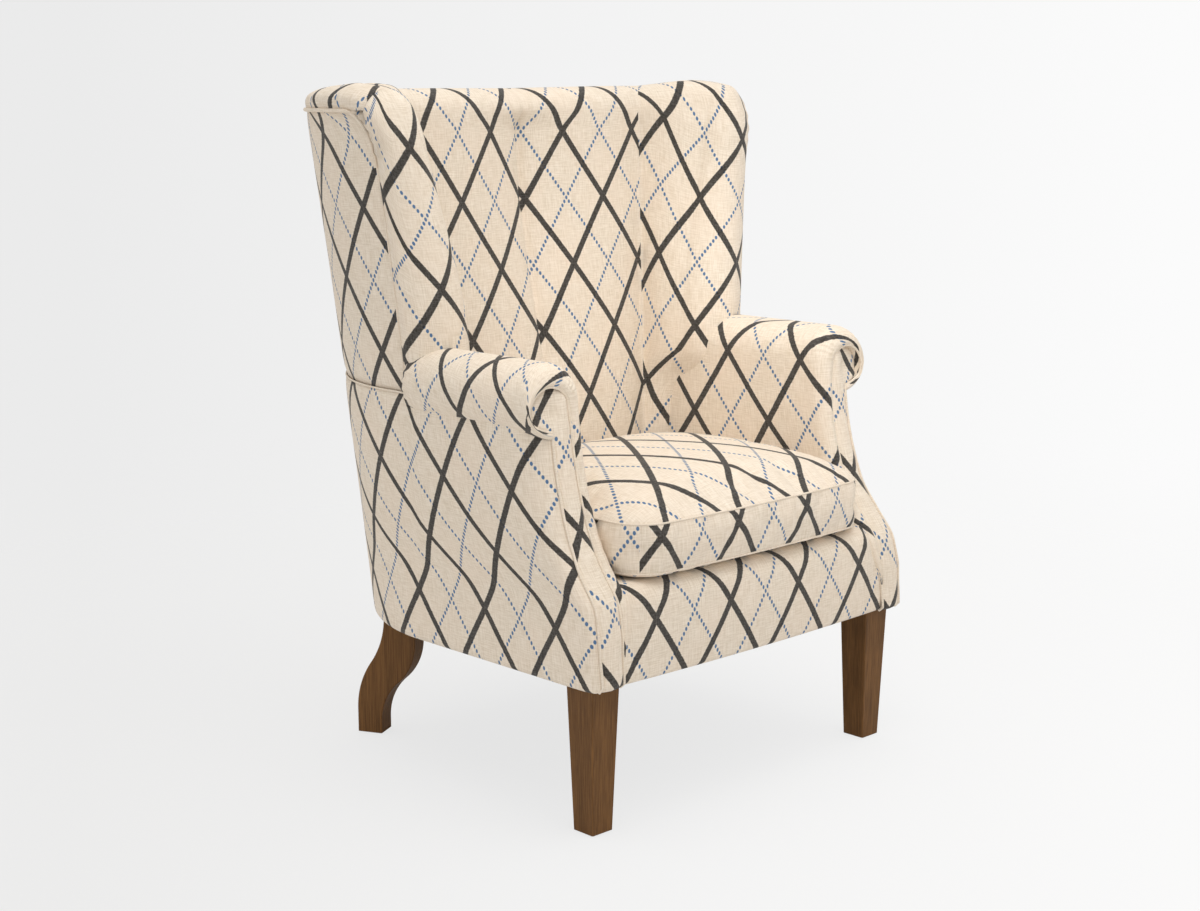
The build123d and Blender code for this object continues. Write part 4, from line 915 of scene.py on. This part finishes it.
def border_front(x):
    return BORDER_FRONT - BORDER_BOW * (1 - (x / BORDER_HALF) ** 2)


def border_section():
    """From the lap under the rail, up the front, over the roll and back: how far in, and how high."""
    section = [(d, COVER_BOTTOM) for d in np.linspace(UNDER_LAP, UNDER_ROUND, 4)[:-1]]
    for a in np.linspace(0, math.pi / 2, 7):
        section.append((UNDER_ROUND * (1 - math.sin(a)), COVER_BOTTOM + UNDER_ROUND * (1 - math.cos(a))))
    straight = np.linspace(COVER_BOTTOM + UNDER_ROUND, DECK - BORDER_ROLL, 16)[1:-1]
    section += [(-BORDER_PUFF * math.sin(math.pi * i / 15), z) for i, z in enumerate(straight, 1)]
    for a in np.linspace(0, math.pi / 2, 14):
        section.append((BORDER_ROLL * (1 - math.cos(a)), DECK - BORDER_ROLL * (1 - math.sin(a))))
    return np.array(section + [(d, DECK) for d in np.linspace(BORDER_ROLL, SEAM_INSET, 10)[1:]])


def border_place(x, d, z):
    """The border's ends sink behind the arms' front edge."""
    y = min(border_front(x) + d, BORDER_BACK)
    end = float(smooth((abs(x) - END_START) / END_RUN))
    return x, y + (max(y, arm_front(z) + seam_depth(z)) - y) * end, z


section = border_section()
turned = np.sin(np.linspace(-1, 1, BORDER_COLUMNS) * END_TURN) / math.sin(END_TURN)
rows = np.array([[border_place(-x * BORDER_EDGE, d, z) for x in turned] for d, z in section])
rows[-1, :, 1] = BORDER_BACK
cloth = Cloth()
cloth.grid(rows, on_cloth(rows, BORDER_COLUMNS // 2))
BORDER = cloth.mesh("front_border_cover", ((0, -0.05, 0.28), (0, -1, 0)))
upholster(BORDER, ["front_border", "front_edge_roll"])

# %% [markdown]
# ## Loose cushion
# The seat cushion is a box: a top, a bottom and a border between two seams. The filling presses the cloth
# out, so it crowns in the middle and stays low at its corners. A short cloth simulation with air inside
# gives the small puckers along the seams, and the seams themselves are held where they are sewn.

# %% Cushion: shape
CUSHION_X, CUSHION_FRONT, CUSHION_BACK = 0.2545, -0.0495, 0.3870
SEAM_LOW, SEAM_HIGH, CROWN = 0.366, 0.437, 0.046
SIDE_COUNT, DEPTH_COUNT, BOX_ROWS = 56, 48, 10
CUSHION_ROUND, FRONT_BOW, SIDE_BOW = 0.050, 0.009, 0.004
BOXING_SWELL, UNDER_CROWN = 0.0022, 0.0085
TOP_PRINT, BOXING_PRINT = 0.40, 0.072


def cushion_ring():
    """The seam in plan as four sides that meet in the middle of the rounded corners."""
    def bowed(a, b, way, bow, count):
        t = np.linspace(0, 1, count + 1)[:, None]
        return a + (b - a) * t + np.asarray(way) * bow * (4 * t * (1 - t))
    x, front, back = CUSHION_X - SIDE_BOW, CUSHION_FRONT + FRONT_BOW, CUSHION_BACK - SIDE_BOW
    r = CUSHION_ROUND * 0.293
    corners = np.array([(-x + r, front + r), (x - r, front + r), (x - r, back - r), (-x + r, back - r)])
    ring = []
    for i, (way, bow) in enumerate((((0, -1), FRONT_BOW), ((1, 0), SIDE_BOW),
                                    ((0, 1), SIDE_BOW), ((-1, 0), SIDE_BOW))):
        count = SIDE_COUNT if i % 2 == 0 else DEPTH_COUNT
        side = bowed(corners[i], corners[(i + 1) % 4], way, bow, count)
        t = np.linspace(0, 1, count + 1)
        reach = 0.707 * CUSHION_ROUND / np.linalg.norm(corners[(i + 1) % 4] - corners[i])
        out = r * (1 - np.clip(1 - np.minimum(t, 1 - t) / reach, 0, 1) ** 2)
        ring.append(side + np.asarray(way) * out[:, None])
    return ring


def coons(ring):
    """Fills the seam's four sides with an even grid."""
    front, right, back, left = ring[0], ring[1], ring[2][::-1], ring[3][::-1]
    u = np.linspace(0, 1, SIDE_COUNT + 1)[None, :, None]
    v = np.linspace(0, 1, DEPTH_COUNT + 1)[:, None, None]
    flat = (1 - v) * front[None] + v * back[None] + (1 - u) * left[:, None] + u * right[:, None]
    ends = (1 - u) * (1 - v) * front[0] + u * (1 - v) * front[-1]
    return flat - (ends + (1 - u) * v * back[0] + u * v * back[-1])


# %% Cushion: mesh
def boxing_swell(t):
    """How far the border stands out. t goes from 0 at its lower seam to 1 at the upper one."""
    return BOXING_SWELL * math.sin(math.pi * t) ** 0.7


def cushion_mesh():
    ring = cushion_ring()
    flat = coons(ring)
    u = np.linspace(-1, 1, SIDE_COUNT + 1)[None, :]
    v = np.linspace(-1, 1, DEPTH_COUNT + 1)[:, None]
    dome = ((1 - np.abs(u) ** 2.6) * (1 - np.abs(v) ** 2.6)) ** 0.62
    top = np.concatenate([flat, (SEAM_HIGH + CROWN * dome)[..., None]], 2)
    bottom = np.concatenate([flat, (SEAM_LOW - UNDER_CROWN * np.minimum(1, 1.6 * dome))[..., None]], 2)
    cloth = Cloth()
    cloth.grid(top, flat + np.array([0.0, TOP_PRINT]))
    cloth.grid(bottom, flat)
    around = np.concatenate([side[:-1] for side in ring] + [ring[0][:1]])
    step = np.gradient(around, axis=0)
    out = np.stack([step[:, 1], -step[:, 0]], 1) / np.linalg.norm(step, axis=1, keepdims=True)
    out[0] = out[-1] = (-math.sqrt(0.5), -math.sqrt(0.5))
    rows = []
    for t in np.linspace(0, 1, BOX_ROWS + 1):
        swollen = around + out * boxing_swell(t)
        rows.append(np.column_stack([swollen, np.full(len(around), SEAM_LOW + (SEAM_HIGH - SEAM_LOW) * t)]))
    rows = np.stack(rows)
    run = lengths(around)
    foot = TOP_PRINT - 0.0595 - BOXING_PRINT
    places = np.stack([np.stack([run - 0.255, np.full(len(run), foot + BOXING_PRINT * t)], 1)
                       for t in np.linspace(0, 1, BOX_ROWS + 1)])
    cloth.grid(rows, places)
    obj = cloth.mesh("seat_cushion", ((0, 0.17, SEAM_HIGH + CROWN), (0, 0, 1)), thickness=0)
    return obj, around


CUSHION, cushion_seam = cushion_mesh()

# %% [markdown]
# The simulation lets the cloth give by three parts in a hundred. What moves is kept within a centimetre, and
# the underside stays above the deck.

# %% Cushion: cloth
PUFF_FRAMES, PUFF_LIMIT, DECK_GAP = 30, 0.010, 0.0012


def puff(obj):
    """Blows the cushion up with its seams held, and keeps the result as its mesh."""
    start = np.array([v.co[:] for v in obj.data.vertices])
    seams = [i for i, (x, y, z) in enumerate(start) if min(abs(z - SEAM_LOW), abs(z - SEAM_HIGH)) < 1e-4]
    pins = obj.vertex_groups.new(name="seams")
    pins.add(seams, 1.0, "REPLACE")
    cloth = obj.modifiers.new("cloth", "CLOTH")
    settings = cloth.settings
    settings.quality = 6
    settings.mass = 0.3
    settings.tension_stiffness = settings.compression_stiffness = 12
    settings.bending_stiffness = 0.6
    settings.shrink_min = -0.03
    settings.use_pressure = True
    settings.uniform_pressure_force = 2.5
    settings.vertex_group_mass = "seams"
    settings.effector_weights.gravity = 0.0
    scene = bpy.context.scene
    cloth.point_cache.frame_start, cloth.point_cache.frame_end = 1, PUFF_FRAMES
    for number in range(1, PUFF_FRAMES + 1):
        scene.frame_set(number)
    graph = bpy.context.evaluated_depsgraph_get()
    moved = np.array([v.co[:] for v in obj.evaluated_get(graph).data.vertices])
    obj.modifiers.clear()
    scene.frame_set(1)
    shift = moved - start
    far = np.linalg.norm(shift, axis=1, keepdims=True)
    shift *= np.minimum(1.0, PUFF_LIMIT / np.maximum(far, 1e-9))
    placed = start + shift
    placed[:, 2] = np.maximum(placed[:, 2], DECK + DECK_GAP)
    obj.data.vertices.foreach_set("co", placed.reshape(-1))
    obj.data.update()
    print("cloth moved at most", round(float(far.max()) * 1000, 1), "mm")


puff(CUSHION)
sharp = CUSHION.data.attributes.new("crease_edge", "FLOAT", "EDGE")
for edge in CUSHION.data.edges:
    heights = [CUSHION.data.vertices[i].co.z for i in edge.vertices]
    held = max(min(abs(z - SEAM_LOW), abs(z - SEAM_HIGH)) for z in heights) < 1e-4
    sharp.data[edge.index].value = 1.0 if held and abs(heights[0] - heights[1]) < 1e-4 else 0.0
finer = CUSHION.modifiers.new("finer", "SUBSURF")
finer.levels = finer.render_levels = 1
settle(CUSHION)
CUSHION.data.shade_smooth()
CUSHION_NODES = ["cushion_core", "cushion_top_panel", "cushion_bottom_panel", "cushion_boxing"]
upholster(CUSHION, CUSHION_NODES, "cushion")

# %% [markdown]
# ## Wood
# The legs are a mid-brown stained hardwood with fine straight grain and a satin varnish. The hidden frame is
# plain pale timber.

# %% Wood
def wood(name, dark, light, rough):
    n = Nodes(name)
    place = n.add("ShaderNodeTexCoord", output="Object")
    grain = n.noise(place, (520.0, 520.0, 14.0), 5.0, 0.65)
    band = n.noise(place, (60.0, 60.0, 4.0), 2.0)
    tone = n.math("MULTIPLY_ADD", grain, 0.75, n.math("MULTIPLY", band, 0.25))
    n.bump(grain, 0.12, 0.0005)
    return n.finish(n.mix(n.ramp(tone, 0.32, 0.68), dark, light), Roughness=rough, Specular_IOR_Level=0.22)


def plain(name, colour, rough=0.6, metal=0.0, mottle=0.12):
    n = Nodes(name)
    place = n.add("ShaderNodeTexCoord", output="Object")
    spots = n.noise(place, (150.0, 150.0, 150.0), 3.0)
    dim = tuple(c * (1 - mottle) for c in colour[:3]) + (1.0,)
    return n.finish(n.mix(n.ramp(spots, 0.35, 0.65), dim, colour), Roughness=rough, Metallic=metal)


FINISHES = {
    "stained_wood": wood("stained_wood", rgb(86, 57, 27), rgb(124, 86, 46), 0.55),
    "frame_wood": wood("frame_timber", rgb(178, 146, 104), rgb(204, 175, 134), 0.7),
    "steel": plain("zinc_steel", rgb(176, 178, 180), 0.35, 1.0),
    "nylon": plain("grey_nylon", rgb(196, 194, 188), 0.5),
    "webbing": plain("jute", rgb(176, 148, 108), 0.9, 0.0, 0.3),
    "foam": plain("foam", rgb(226, 214, 186), 0.95),
    "dust_cloth": plain("dust_cloth", rgb(40, 40, 42), 0.95),
    "deck_cloth": plain("deck_cloth", rgb(222, 208, 184), 0.9),
    "linen": plain("linen_backing", rgb(232, 216, 192), 0.9),
}

# %% [markdown]
# ## Piping
# Piping is a cord in a strip of the same cloth, sewn into a seam. The one round the top of the outside is
# thick and stands proud. Along the other seams only a thin ridge shows. A tube follows each seam's line, so
# a node tree does it: the line becomes a curve, a circle is swept along it, and the lengths along and round
# the cord are kept as its places on the cloth.

# %% Piping: node tree
class Tree:
    """A geometry node tree with named inputs, which become the settings of its modifier."""

    def __init__(self, name, **inputs):
        self.tree = bpy.data.node_groups.new(name, "GeometryNodeTree")
        face = self.tree.interface
        face.new_socket("Geometry", in_out="INPUT", socket_type="NodeSocketGeometry")
        self.keys = {key: face.new_socket(key, in_out="INPUT", socket_type=kind).identifier
                     for key, kind in inputs.items()}
        face.new_socket("Geometry", in_out="OUTPUT", socket_type="NodeSocketGeometry")
        self.source = self.tree.nodes.new("NodeGroupInput")

    def add(self, kind, inputs=None, **settings):
        return make(self.tree, kind, inputs, **settings)

    def keep(self, geometry, value, name):
        """Keeps a value on the geometry's points, for use after the geometry has changed."""
        node = self.tree.nodes.new("GeometryNodeCaptureAttribute")
        node.capture_items.new("FLOAT", name)
        self.tree.links.new(geometry, node.inputs[0])
        self.tree.links.new(value, node.inputs[1])
        return node.outputs[0], node.outputs[1]

    def close(self, geometry):
        whole_piece = self.add("GeometryNodeRealizeInstances", {0: geometry})
        painted = self.add("GeometryNodeSetMaterial", {"Geometry": whole_piece.outputs[0],
                                                       "Material": self.source.outputs["Material"]})
        self.add("NodeGroupOutput", {0: painted.outputs[0]})
        return self

    def grow(self, name, lines, **values):
        """Makes a plain mesh along lines; each is an array of points and whether it closes."""
        points, edges = [], []
        for line, closed in lines:
            first = len(points)
            points += [(x, y + FRONT_AXIS, z) for x, y, z in np.asarray(line).tolist()]
            edges += [(i, i + 1) for i in range(first, len(points) - 1)]
            edges += [(len(points) - 1, first)] if closed else []
        data = bpy.data.meshes.new(name)
        data.from_pydata(points, edges, [])
        obj = bpy.data.objects.new(name, data)
        bpy.context.scene.collection.objects.link(obj)
        modifier = obj.modifiers.new(name, "NODES")
        modifier.node_group = self.tree
        for key, value in values.items():
            modifier[self.keys[key]] = value
        return settle(obj)


# %% Piping: cord
def cord_tree():
    t = Tree("cord_along_seam", Radius="NodeSocketFloat", Material="NodeSocketMaterial")
    line = t.add("GeometryNodeMeshToCurve", {"Mesh": t.source.outputs["Geometry"]})
    circle = t.add("GeometryNodeCurvePrimitiveCircle", {"Resolution": 10,
                                                        "Radius": t.source.outputs["Radius"]})
    run, round_it = (t.add("GeometryNodeSplineParameter").outputs["Length"] for _ in range(2))
    path, along = t.keep(line.outputs[0], run, "along")
    ring, around = t.keep(circle.outputs[0], round_it, "around")
    tube = t.add("GeometryNodeCurveToMesh", {"Curve": path, "Profile Curve": ring, "Fill Caps": True})
    place = t.add("ShaderNodeCombineXYZ", {0: around, 1: along})
    stored = t.add("GeometryNodeStoreNamedAttribute", {"Geometry": tube.outputs[0], "Name": "cloth",
                                                       "Value": place.outputs[0]},
                   data_type="FLOAT2", domain="CORNER")
    smoothed = t.add("GeometryNodeSetShadeSmooth", {"Geometry": stored.outputs[0]})
    return t.close(smoothed.outputs[0])


CORD = cord_tree()


# %% Piping: seams
WELT_PROUD, WELT_OUT, FACING_OUT = 0.0022, 0.0018, 0.0018


def both(line):
    """A line on the right side, and its mirror image."""
    line = np.asarray(line)
    return [(line, False), (line * np.array([-1, 1, 1]), False)]


def top_welt():
    """From the front of the left wing over its corner, round the back and down the right wing."""
    y, z = roll_axis(BORDER_SEAM)[1] + CORNER_ROUND, BORDER_SEAM - CORNER_ROUND
    line = [(half_width(h) + WELT_PROUD, roll_axis(h)[1], h) for h in np.linspace(z - 0.020, z, 6)[:-1]]
    for a in np.linspace(0, math.pi / 2, 20):
        h = z + CORNER_ROUND * math.sin(a)
        line.append((half_width(h) + WELT_PROUD, y - CORNER_ROUND * math.cos(a), h))
    rim = barrel_line(BORDER_SEAM, -WELT_OUT)
    rim = spaced(rim, at_depth(rim, y), lengths(rim)[-1], 60)[1:]
    line += [(a, b, BORDER_SEAM) for a, b in rim]
    return whole(np.array(line))


def back_seam(z):
    """A point of the seam between the outside back and the right side."""
    line = barrel_line(z)
    return *spaced(line, at_across(line, BACK_SEAM), lengths(line)[-1], 2)[0], z


level = barrel_line(SIDE_SEAM)
side = spaced(level, at_depth(level, WING_SEAM), at_across(level, BACK_SEAM), 50)
back_edge = [back_seam(z) for z in np.linspace(COVER_BOTTOM, BORDER_SEAM, 60)]
wing_front = [(half_width(z), roll_axis(z)[1], z)
              for z in np.linspace(WING_FOOT, BORDER_SEAM - CORNER_ROUND - 0.018, 40)]
facing_edge = [(x, arm_front(z) + seam_depth(z) + foot_round(z) - FACING_OUT, z)
               for x, z in facing_outline()]
cushion_ring_line = cushion_seam[:-1]
cushion_edges = [(np.column_stack([cushion_ring_line, np.full(len(cushion_ring_line), z)]), True)
                 for z in (SEAM_LOW, SEAM_HIGH)]
for name, body, radius, lines in (
        ("top_piping", "chair", 0.0030, [(top_welt(), False)]),
        ("back_piping", "chair", 0.0020, both(back_edge)),
        ("side_piping", "chair", 0.0015, both(wing_front) + both([(x, y, SIDE_SEAM) for x, y in side])),
        ("facing_piping", "chair", 0.0021, both(facing_edge)),
        ("cushion_piping", "cushion", 0.0015, cushion_edges)):
    piece = CORD.grow(name, lines, Radius=radius, Material=PLAIN_LINEN)
    upholster(piece, [], body, PLAIN_LINEN)

# %% [markdown]
# ## Deck, dust cover and zip
# The deck under the cushion and the black dust cover under the seat are flat, stretched sheets. The dust
# cover is cut round the legs and stapled along its edge. Across the back of the cushion's border runs a
# zip. It follows the border as drawn, so the cloth that the filling presses out hides most of it. Staples
# and teeth are one small block each, set at even steps along a line by a second node tree.

# %% Rows of small blocks
def row_tree():
    t = Tree("blocks_along_line", Step="NodeSocketFloat", Size="NodeSocketVector",
             Material="NodeSocketMaterial")
    line = t.add("GeometryNodeMeshToCurve", {"Mesh": t.source.outputs["Geometry"]})
    even = t.add("GeometryNodeResampleCurve", {"Curve": line.outputs[0], "Length": t.source.outputs["Step"]},
                 mode="LENGTH")
    tangent = t.add("GeometryNodeInputTangent")
    turn = t.add("FunctionNodeAlignRotationToVector", {"Vector": tangent.outputs[0]},
                 axis="X", pivot_axis="Z")
    block = t.add("GeometryNodeMeshCube", {"Size": t.source.outputs["Size"]})
    blocks = t.add("GeometryNodeInstanceOnPoints", {"Points": even.outputs[0], "Instance": block.outputs[0],
                                                    "Rotation": turn.outputs[0]})
    return t.close(blocks.outputs[0])


ROW = row_tree()


# %% Deck and dust cover
DECK_HALF, DECK_FRONT, DECK_BACK, DECK_SAG = 0.265, 0.055, 0.395, 0.005
DUST_HALF, DUST_FRONT, DUST_BACK, DUST_LEVEL, DUST_SAG = 0.324, -0.0285, 0.575, 0.2172, 0.0015
DUST_EDGE, STAPLE_INSET = barrel_line(COVER_BOTTOM, 0.014), 0.016
LEG_PLACES = (((low("front_leg_right").x + high("front_leg_right").x) / 2, 0.0), (0.230, 0.515))
LEG_CUT = 0.029


def flat_sheet(name, xs, ys, level, keep, nodes, finish):
    """A thin sheet on a grid. level gives its height, keep says which places are cloth."""
    cloth = Cloth()
    grid = np.array([[(x, y, level(x, y)) for x in xs] for y in ys])
    cloth.grid(grid, grid[..., :2])
    middles = [np.mean([cloth.points[i] for i in face], axis=0) for face in cloth.faces]
    cloth.faces = [face for face, spot in zip(cloth.faces, middles) if keep(spot[0], spot[1])]
    obj = cloth.mesh(name, ((0, 0.2, level(0, 0.2)), (0, 0, 1)), thickness=0.0008)
    obj.data.materials.append(finish)
    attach(obj, "chair")
    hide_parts(*nodes)


def staple_line():
    """Where the staples go: the barrel, set in from the outside."""
    line = barrel_line(COVER_BOTTOM, STAPLE_INSET)
    line = line[line[:, 1] > DUST_FRONT]
    return whole(np.column_stack([line, np.full(len(line), DUST_LEVEL - 0.0009)]))


def under_seat(x, y):
    """Whether a place under the seat is dust cover: within the edge and clear of the legs."""
    for across, depth in LEG_PLACES:
        if abs(abs(x) - across) < LEG_CUT and abs(y - depth) < LEG_CUT:
            return False
    curved = DUST_EDGE[SIDE_POINTS:]
    edge = DUST_EDGE[0, 0] if y < curved[0, 1] else float(np.interp(y, curved[:, 1], curved[:, 0]))
    return abs(x) < edge and y < DUST_EDGE[-1, 1]


# %% Deck and dust cover: sheets
def deck_level(x, y):
    """The deck sags in its middle."""
    sag = (1 - (x / DECK_HALF) ** 2) * math.sin(math.pi * (y - DECK_FRONT) / (DECK_BACK - DECK_FRONT))
    return DECK - 0.0006 - DECK_SAG * max(0.0, sag)


def dust_level(x, y):
    """So does the dust cover, a little."""
    return DUST_LEVEL - DUST_SAG * max(0.0, math.cos(x * 4.5) * math.sin(math.pi * (y + 0.03) / 0.6))


flat_sheet("deck_sheet", np.linspace(-DECK_HALF, DECK_HALF, 40), np.linspace(DECK_FRONT, DECK_BACK, 30),
           deck_level, lambda x, y: True, ["deck_cover", "deck_pad"], FINISHES["deck_cloth"])
STAPLES = ROW.grow("dust_cover_staples", [(staple_line(), False)], Step=0.038, Size=(0.010, 0.0014, 0.0007),
                   Material=FINISHES["steel"])
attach(STAPLES, "chair")
flat_sheet("dust_cover_sheet", np.linspace(-DUST_HALF, DUST_HALF, 82),
           np.linspace(DUST_FRONT, DUST_BACK, 76), dust_level, under_seat, ["dust_cover"],
           FINISHES["dust_cloth"])


# %% Zip
ZIP_HALF, ZIP_LEVEL, TAPE_HALF = 0.195, 0.4015, 0.006


def zip_line(z, out):
    """A line across the back of the cushion's border at a height."""
    ring = cushion_ring_line
    rear = ring[(ring[:, 1] > 0.365) & (np.abs(ring[:, 0]) < ZIP_HALF + 0.030)]
    rear = rear[np.argsort(rear[:, 0])]
    xs = np.linspace(-ZIP_HALF, ZIP_HALF, 60)
    ys = np.interp(xs, rear[:, 0], rear[:, 1]) + boxing_swell((z - SEAM_LOW) / (SEAM_HIGH - SEAM_LOW)) + out
    return np.column_stack([xs, ys, np.full(len(xs), z)])


cloth = Cloth()
tape = np.stack([zip_line(z, 0.0016) for z in np.linspace(ZIP_LEVEL - TAPE_HALF, ZIP_LEVEL + TAPE_HALF, 5)])
cloth.grid(tape, tape[..., ::2])
TAPE = cloth.mesh("zip_tape", ((0, 0.39, ZIP_LEVEL), (0, 1, 0)), thickness=0.0010)
TAPE.data.materials.append(FINISHES["deck_cloth"])
TEETH = ROW.grow("zip_teeth", [(zip_line(ZIP_LEVEL, 0.0022), False)], Step=0.0026,
                 Size=(0.0015, 0.0016, 0.0050), Material=FINISHES["nylon"])
for piece in (TAPE, TEETH):
    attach(piece, "cushion")
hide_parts("cushion_zip")
print("zip teeth", len(TEETH.data.polygons) // 6)

# %% [markdown]
# ## Light and camera
# The chair stands on a pale seamless floor. Light comes from all round, with a wide soft light from above. A
# second lamp hangs over the seat and a third is aimed past the near arm at the far one, so the inside is
# bright and the outside is in a gentle shade. The camera looks down slightly at the left front corner.

# %% Stage: backdrop and floor
CAMERA_TURN, CAMERA_DIP, CAMERA_LENS = math.radians(43.96), math.radians(10.75), 57.75
RIGHT = (math.cos(CAMERA_TURN), -math.sin(CAMERA_TURN), 0.0)
EYE = (-2.082, -1.861 + FRONT_AXIS, 1.029)
BACKDROP_LEFT, BACKDROP_RIGHT = -0.26, 0.28
ROOM_COLOUR, ROOM_LIGHT = (1.0, 0.99, 0.975, 1.0), 0.70
FLOOR_SHADOW, FLOOR_FADE, FLOOR_HALF = 0.16, (1.2, 3.0), 6


def backdrop(tree, way):
    """Pale grey on the left to white on the right, from the direction that a place lies in."""
    across = make(tree, "ShaderNodeVectorMath", {0: way, 1: RIGHT}, operation="DOT_PRODUCT").outputs["Value"]
    share = make(tree, "ShaderNodeMapRange", {0: across, 1: BACKDROP_LEFT, 2: BACKDROP_RIGHT}).outputs[0]
    greys = {0: share, 6: rgb(235, 235, 235), 7: rgb(251, 251, 251)}
    return make(tree, "ShaderNodeMix", greys, data_type="RGBA").outputs[2]


def mixed(tree, share, first, second):
    return make(tree, "ShaderNodeMixShader", {0: share, 1: first, 2: second}).outputs[0]


def room():
    """To the eye the world is the backdrop. To the chair it is an even light from all round."""
    world = bpy.data.worlds.new("room")
    bpy.context.scene.world = world
    world.use_nodes = True
    tree = world.node_tree
    tree.nodes.clear()
    to_eye = make(tree, "ShaderNodeLightPath").outputs["Is Camera Ray"]
    way = make(tree, "ShaderNodeTexCoord").outputs["Generated"]
    around = make(tree, "ShaderNodeBackground", {0: ROOM_COLOUR, 1: ROOM_LIGHT}).outputs[0]
    seen = make(tree, "ShaderNodeBackground", {0: backdrop(tree, way)}).outputs[0]
    make(tree, "ShaderNodeOutputWorld", {0: mixed(tree, to_eye, around, seen)})


def floor_material():
    """To the eye the floor is the backdrop with a faint shadow. To the chair it is white."""
    n = Nodes("floor")
    n.finish(rgb(240, 240, 240), Roughness=0.9, Specular_IOR_Level=0.1)
    white = n.shader.outputs[0]
    place = n.add("ShaderNodeTexCoord", output="Object")
    way = n.add("ShaderNodeVectorMath", {0: place, 1: EYE}, operation="SUBTRACT")
    way = n.add("ShaderNodeVectorMath", {0: way}, operation="NORMALIZE")
    glow = n.add("ShaderNodeEmission", {0: backdrop(n.tree, way)})
    to_eye = n.add("ShaderNodeLightPath", output="Is Camera Ray")
    both_ways = mixed(n.tree, to_eye, white, mixed(n.tree, FLOOR_SHADOW, glow, white))
    far = n.add("ShaderNodeVectorMath", {0: place}, output="Value", operation="LENGTH")
    faded = mixed(n.tree, n.ramp(far, *FLOOR_FADE), both_ways, n.add("ShaderNodeBsdfTransparent"))
    n.tree.links.new(faded, n.tree.nodes["Material Output"].inputs[0])
    return n.material


def floor():
    data = bpy.data.meshes.new("floor")
    data.from_pydata([(x * FLOOR_HALF, y * FLOOR_HALF, 0) for x, y in ((-1, -1), (1, -1), (1, 1), (-1, 1))],
                     [], [(0, 1, 2, 3)])
    data.materials.append(floor_material())
    return bpy.data.objects.new("floor", data)


# %% Stage: lamps and camera
LAMPS = (
    ("sky", "SUN", 0.88, (0.02, -0.16, 1.0), (0, 0, 0), {"angle": math.radians(60)}),
    ("overhead", "AREA", 4.5, (-0.20, -0.30 + FRONT_AXIS, 1.95), (0.1, 0.3 + FRONT_AXIS, 0.6),
     {"size": 0.7}),
    ("fill", "SPOT", 80.0, (-1.30, -1.10 + FRONT_AXIS, 1.65), (0.25, 0.28 + FRONT_AXIS, 0.64),
     {"spot_size": math.radians(23), "spot_blend": 1.0, "shadow_soft_size": 0.25}))
LAMP_COLOUR = (1.0, 0.985, 0.96)


def lamp(name, kind, energy, place, aim, settings):
    data = bpy.data.lights.new(name, kind)
    data.energy, data.color = energy, LAMP_COLOUR
    for key, value in settings.items():
        setattr(data, key, value)
    obj = bpy.data.objects.new(name, data)
    obj.location = Vector(place)
    obj.rotation_euler = (Vector(aim) - Vector(place)).to_track_quat("-Z", "Y").to_euler()
    return obj


def stage():
    room()
    for obj in [floor()] + [lamp(*row) for row in LAMPS]:
        bpy.context.scene.collection.objects.link(obj)
    print("lamps", [row[0] for row in LAMPS])


def camera():
    eye = bpy.data.cameras.new("camera")
    eye.sensor_width, eye.lens = 36.0, CAMERA_LENS
    obj = bpy.data.objects.new("camera", eye)
    obj.location = EYE
    obj.rotation_euler = (math.pi / 2 - CAMERA_DIP, 0.0, -CAMERA_TURN)
    bpy.context.scene.collection.objects.link(obj)
    bpy.context.scene.camera = obj


stage()
camera()
bpy.context.scene.view_settings.view_transform = "Standard"

# %% [markdown]
# ## Finish
# The timber, straps and fittings that stay as they are take their finishes.

# %% Finish
for name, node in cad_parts.items():
    for held in node.material_slots:
        key = next((k for k in FINISHES if held.material and held.material.name.startswith(k)), "frame_wood")
        held.material = FINISHES[key]
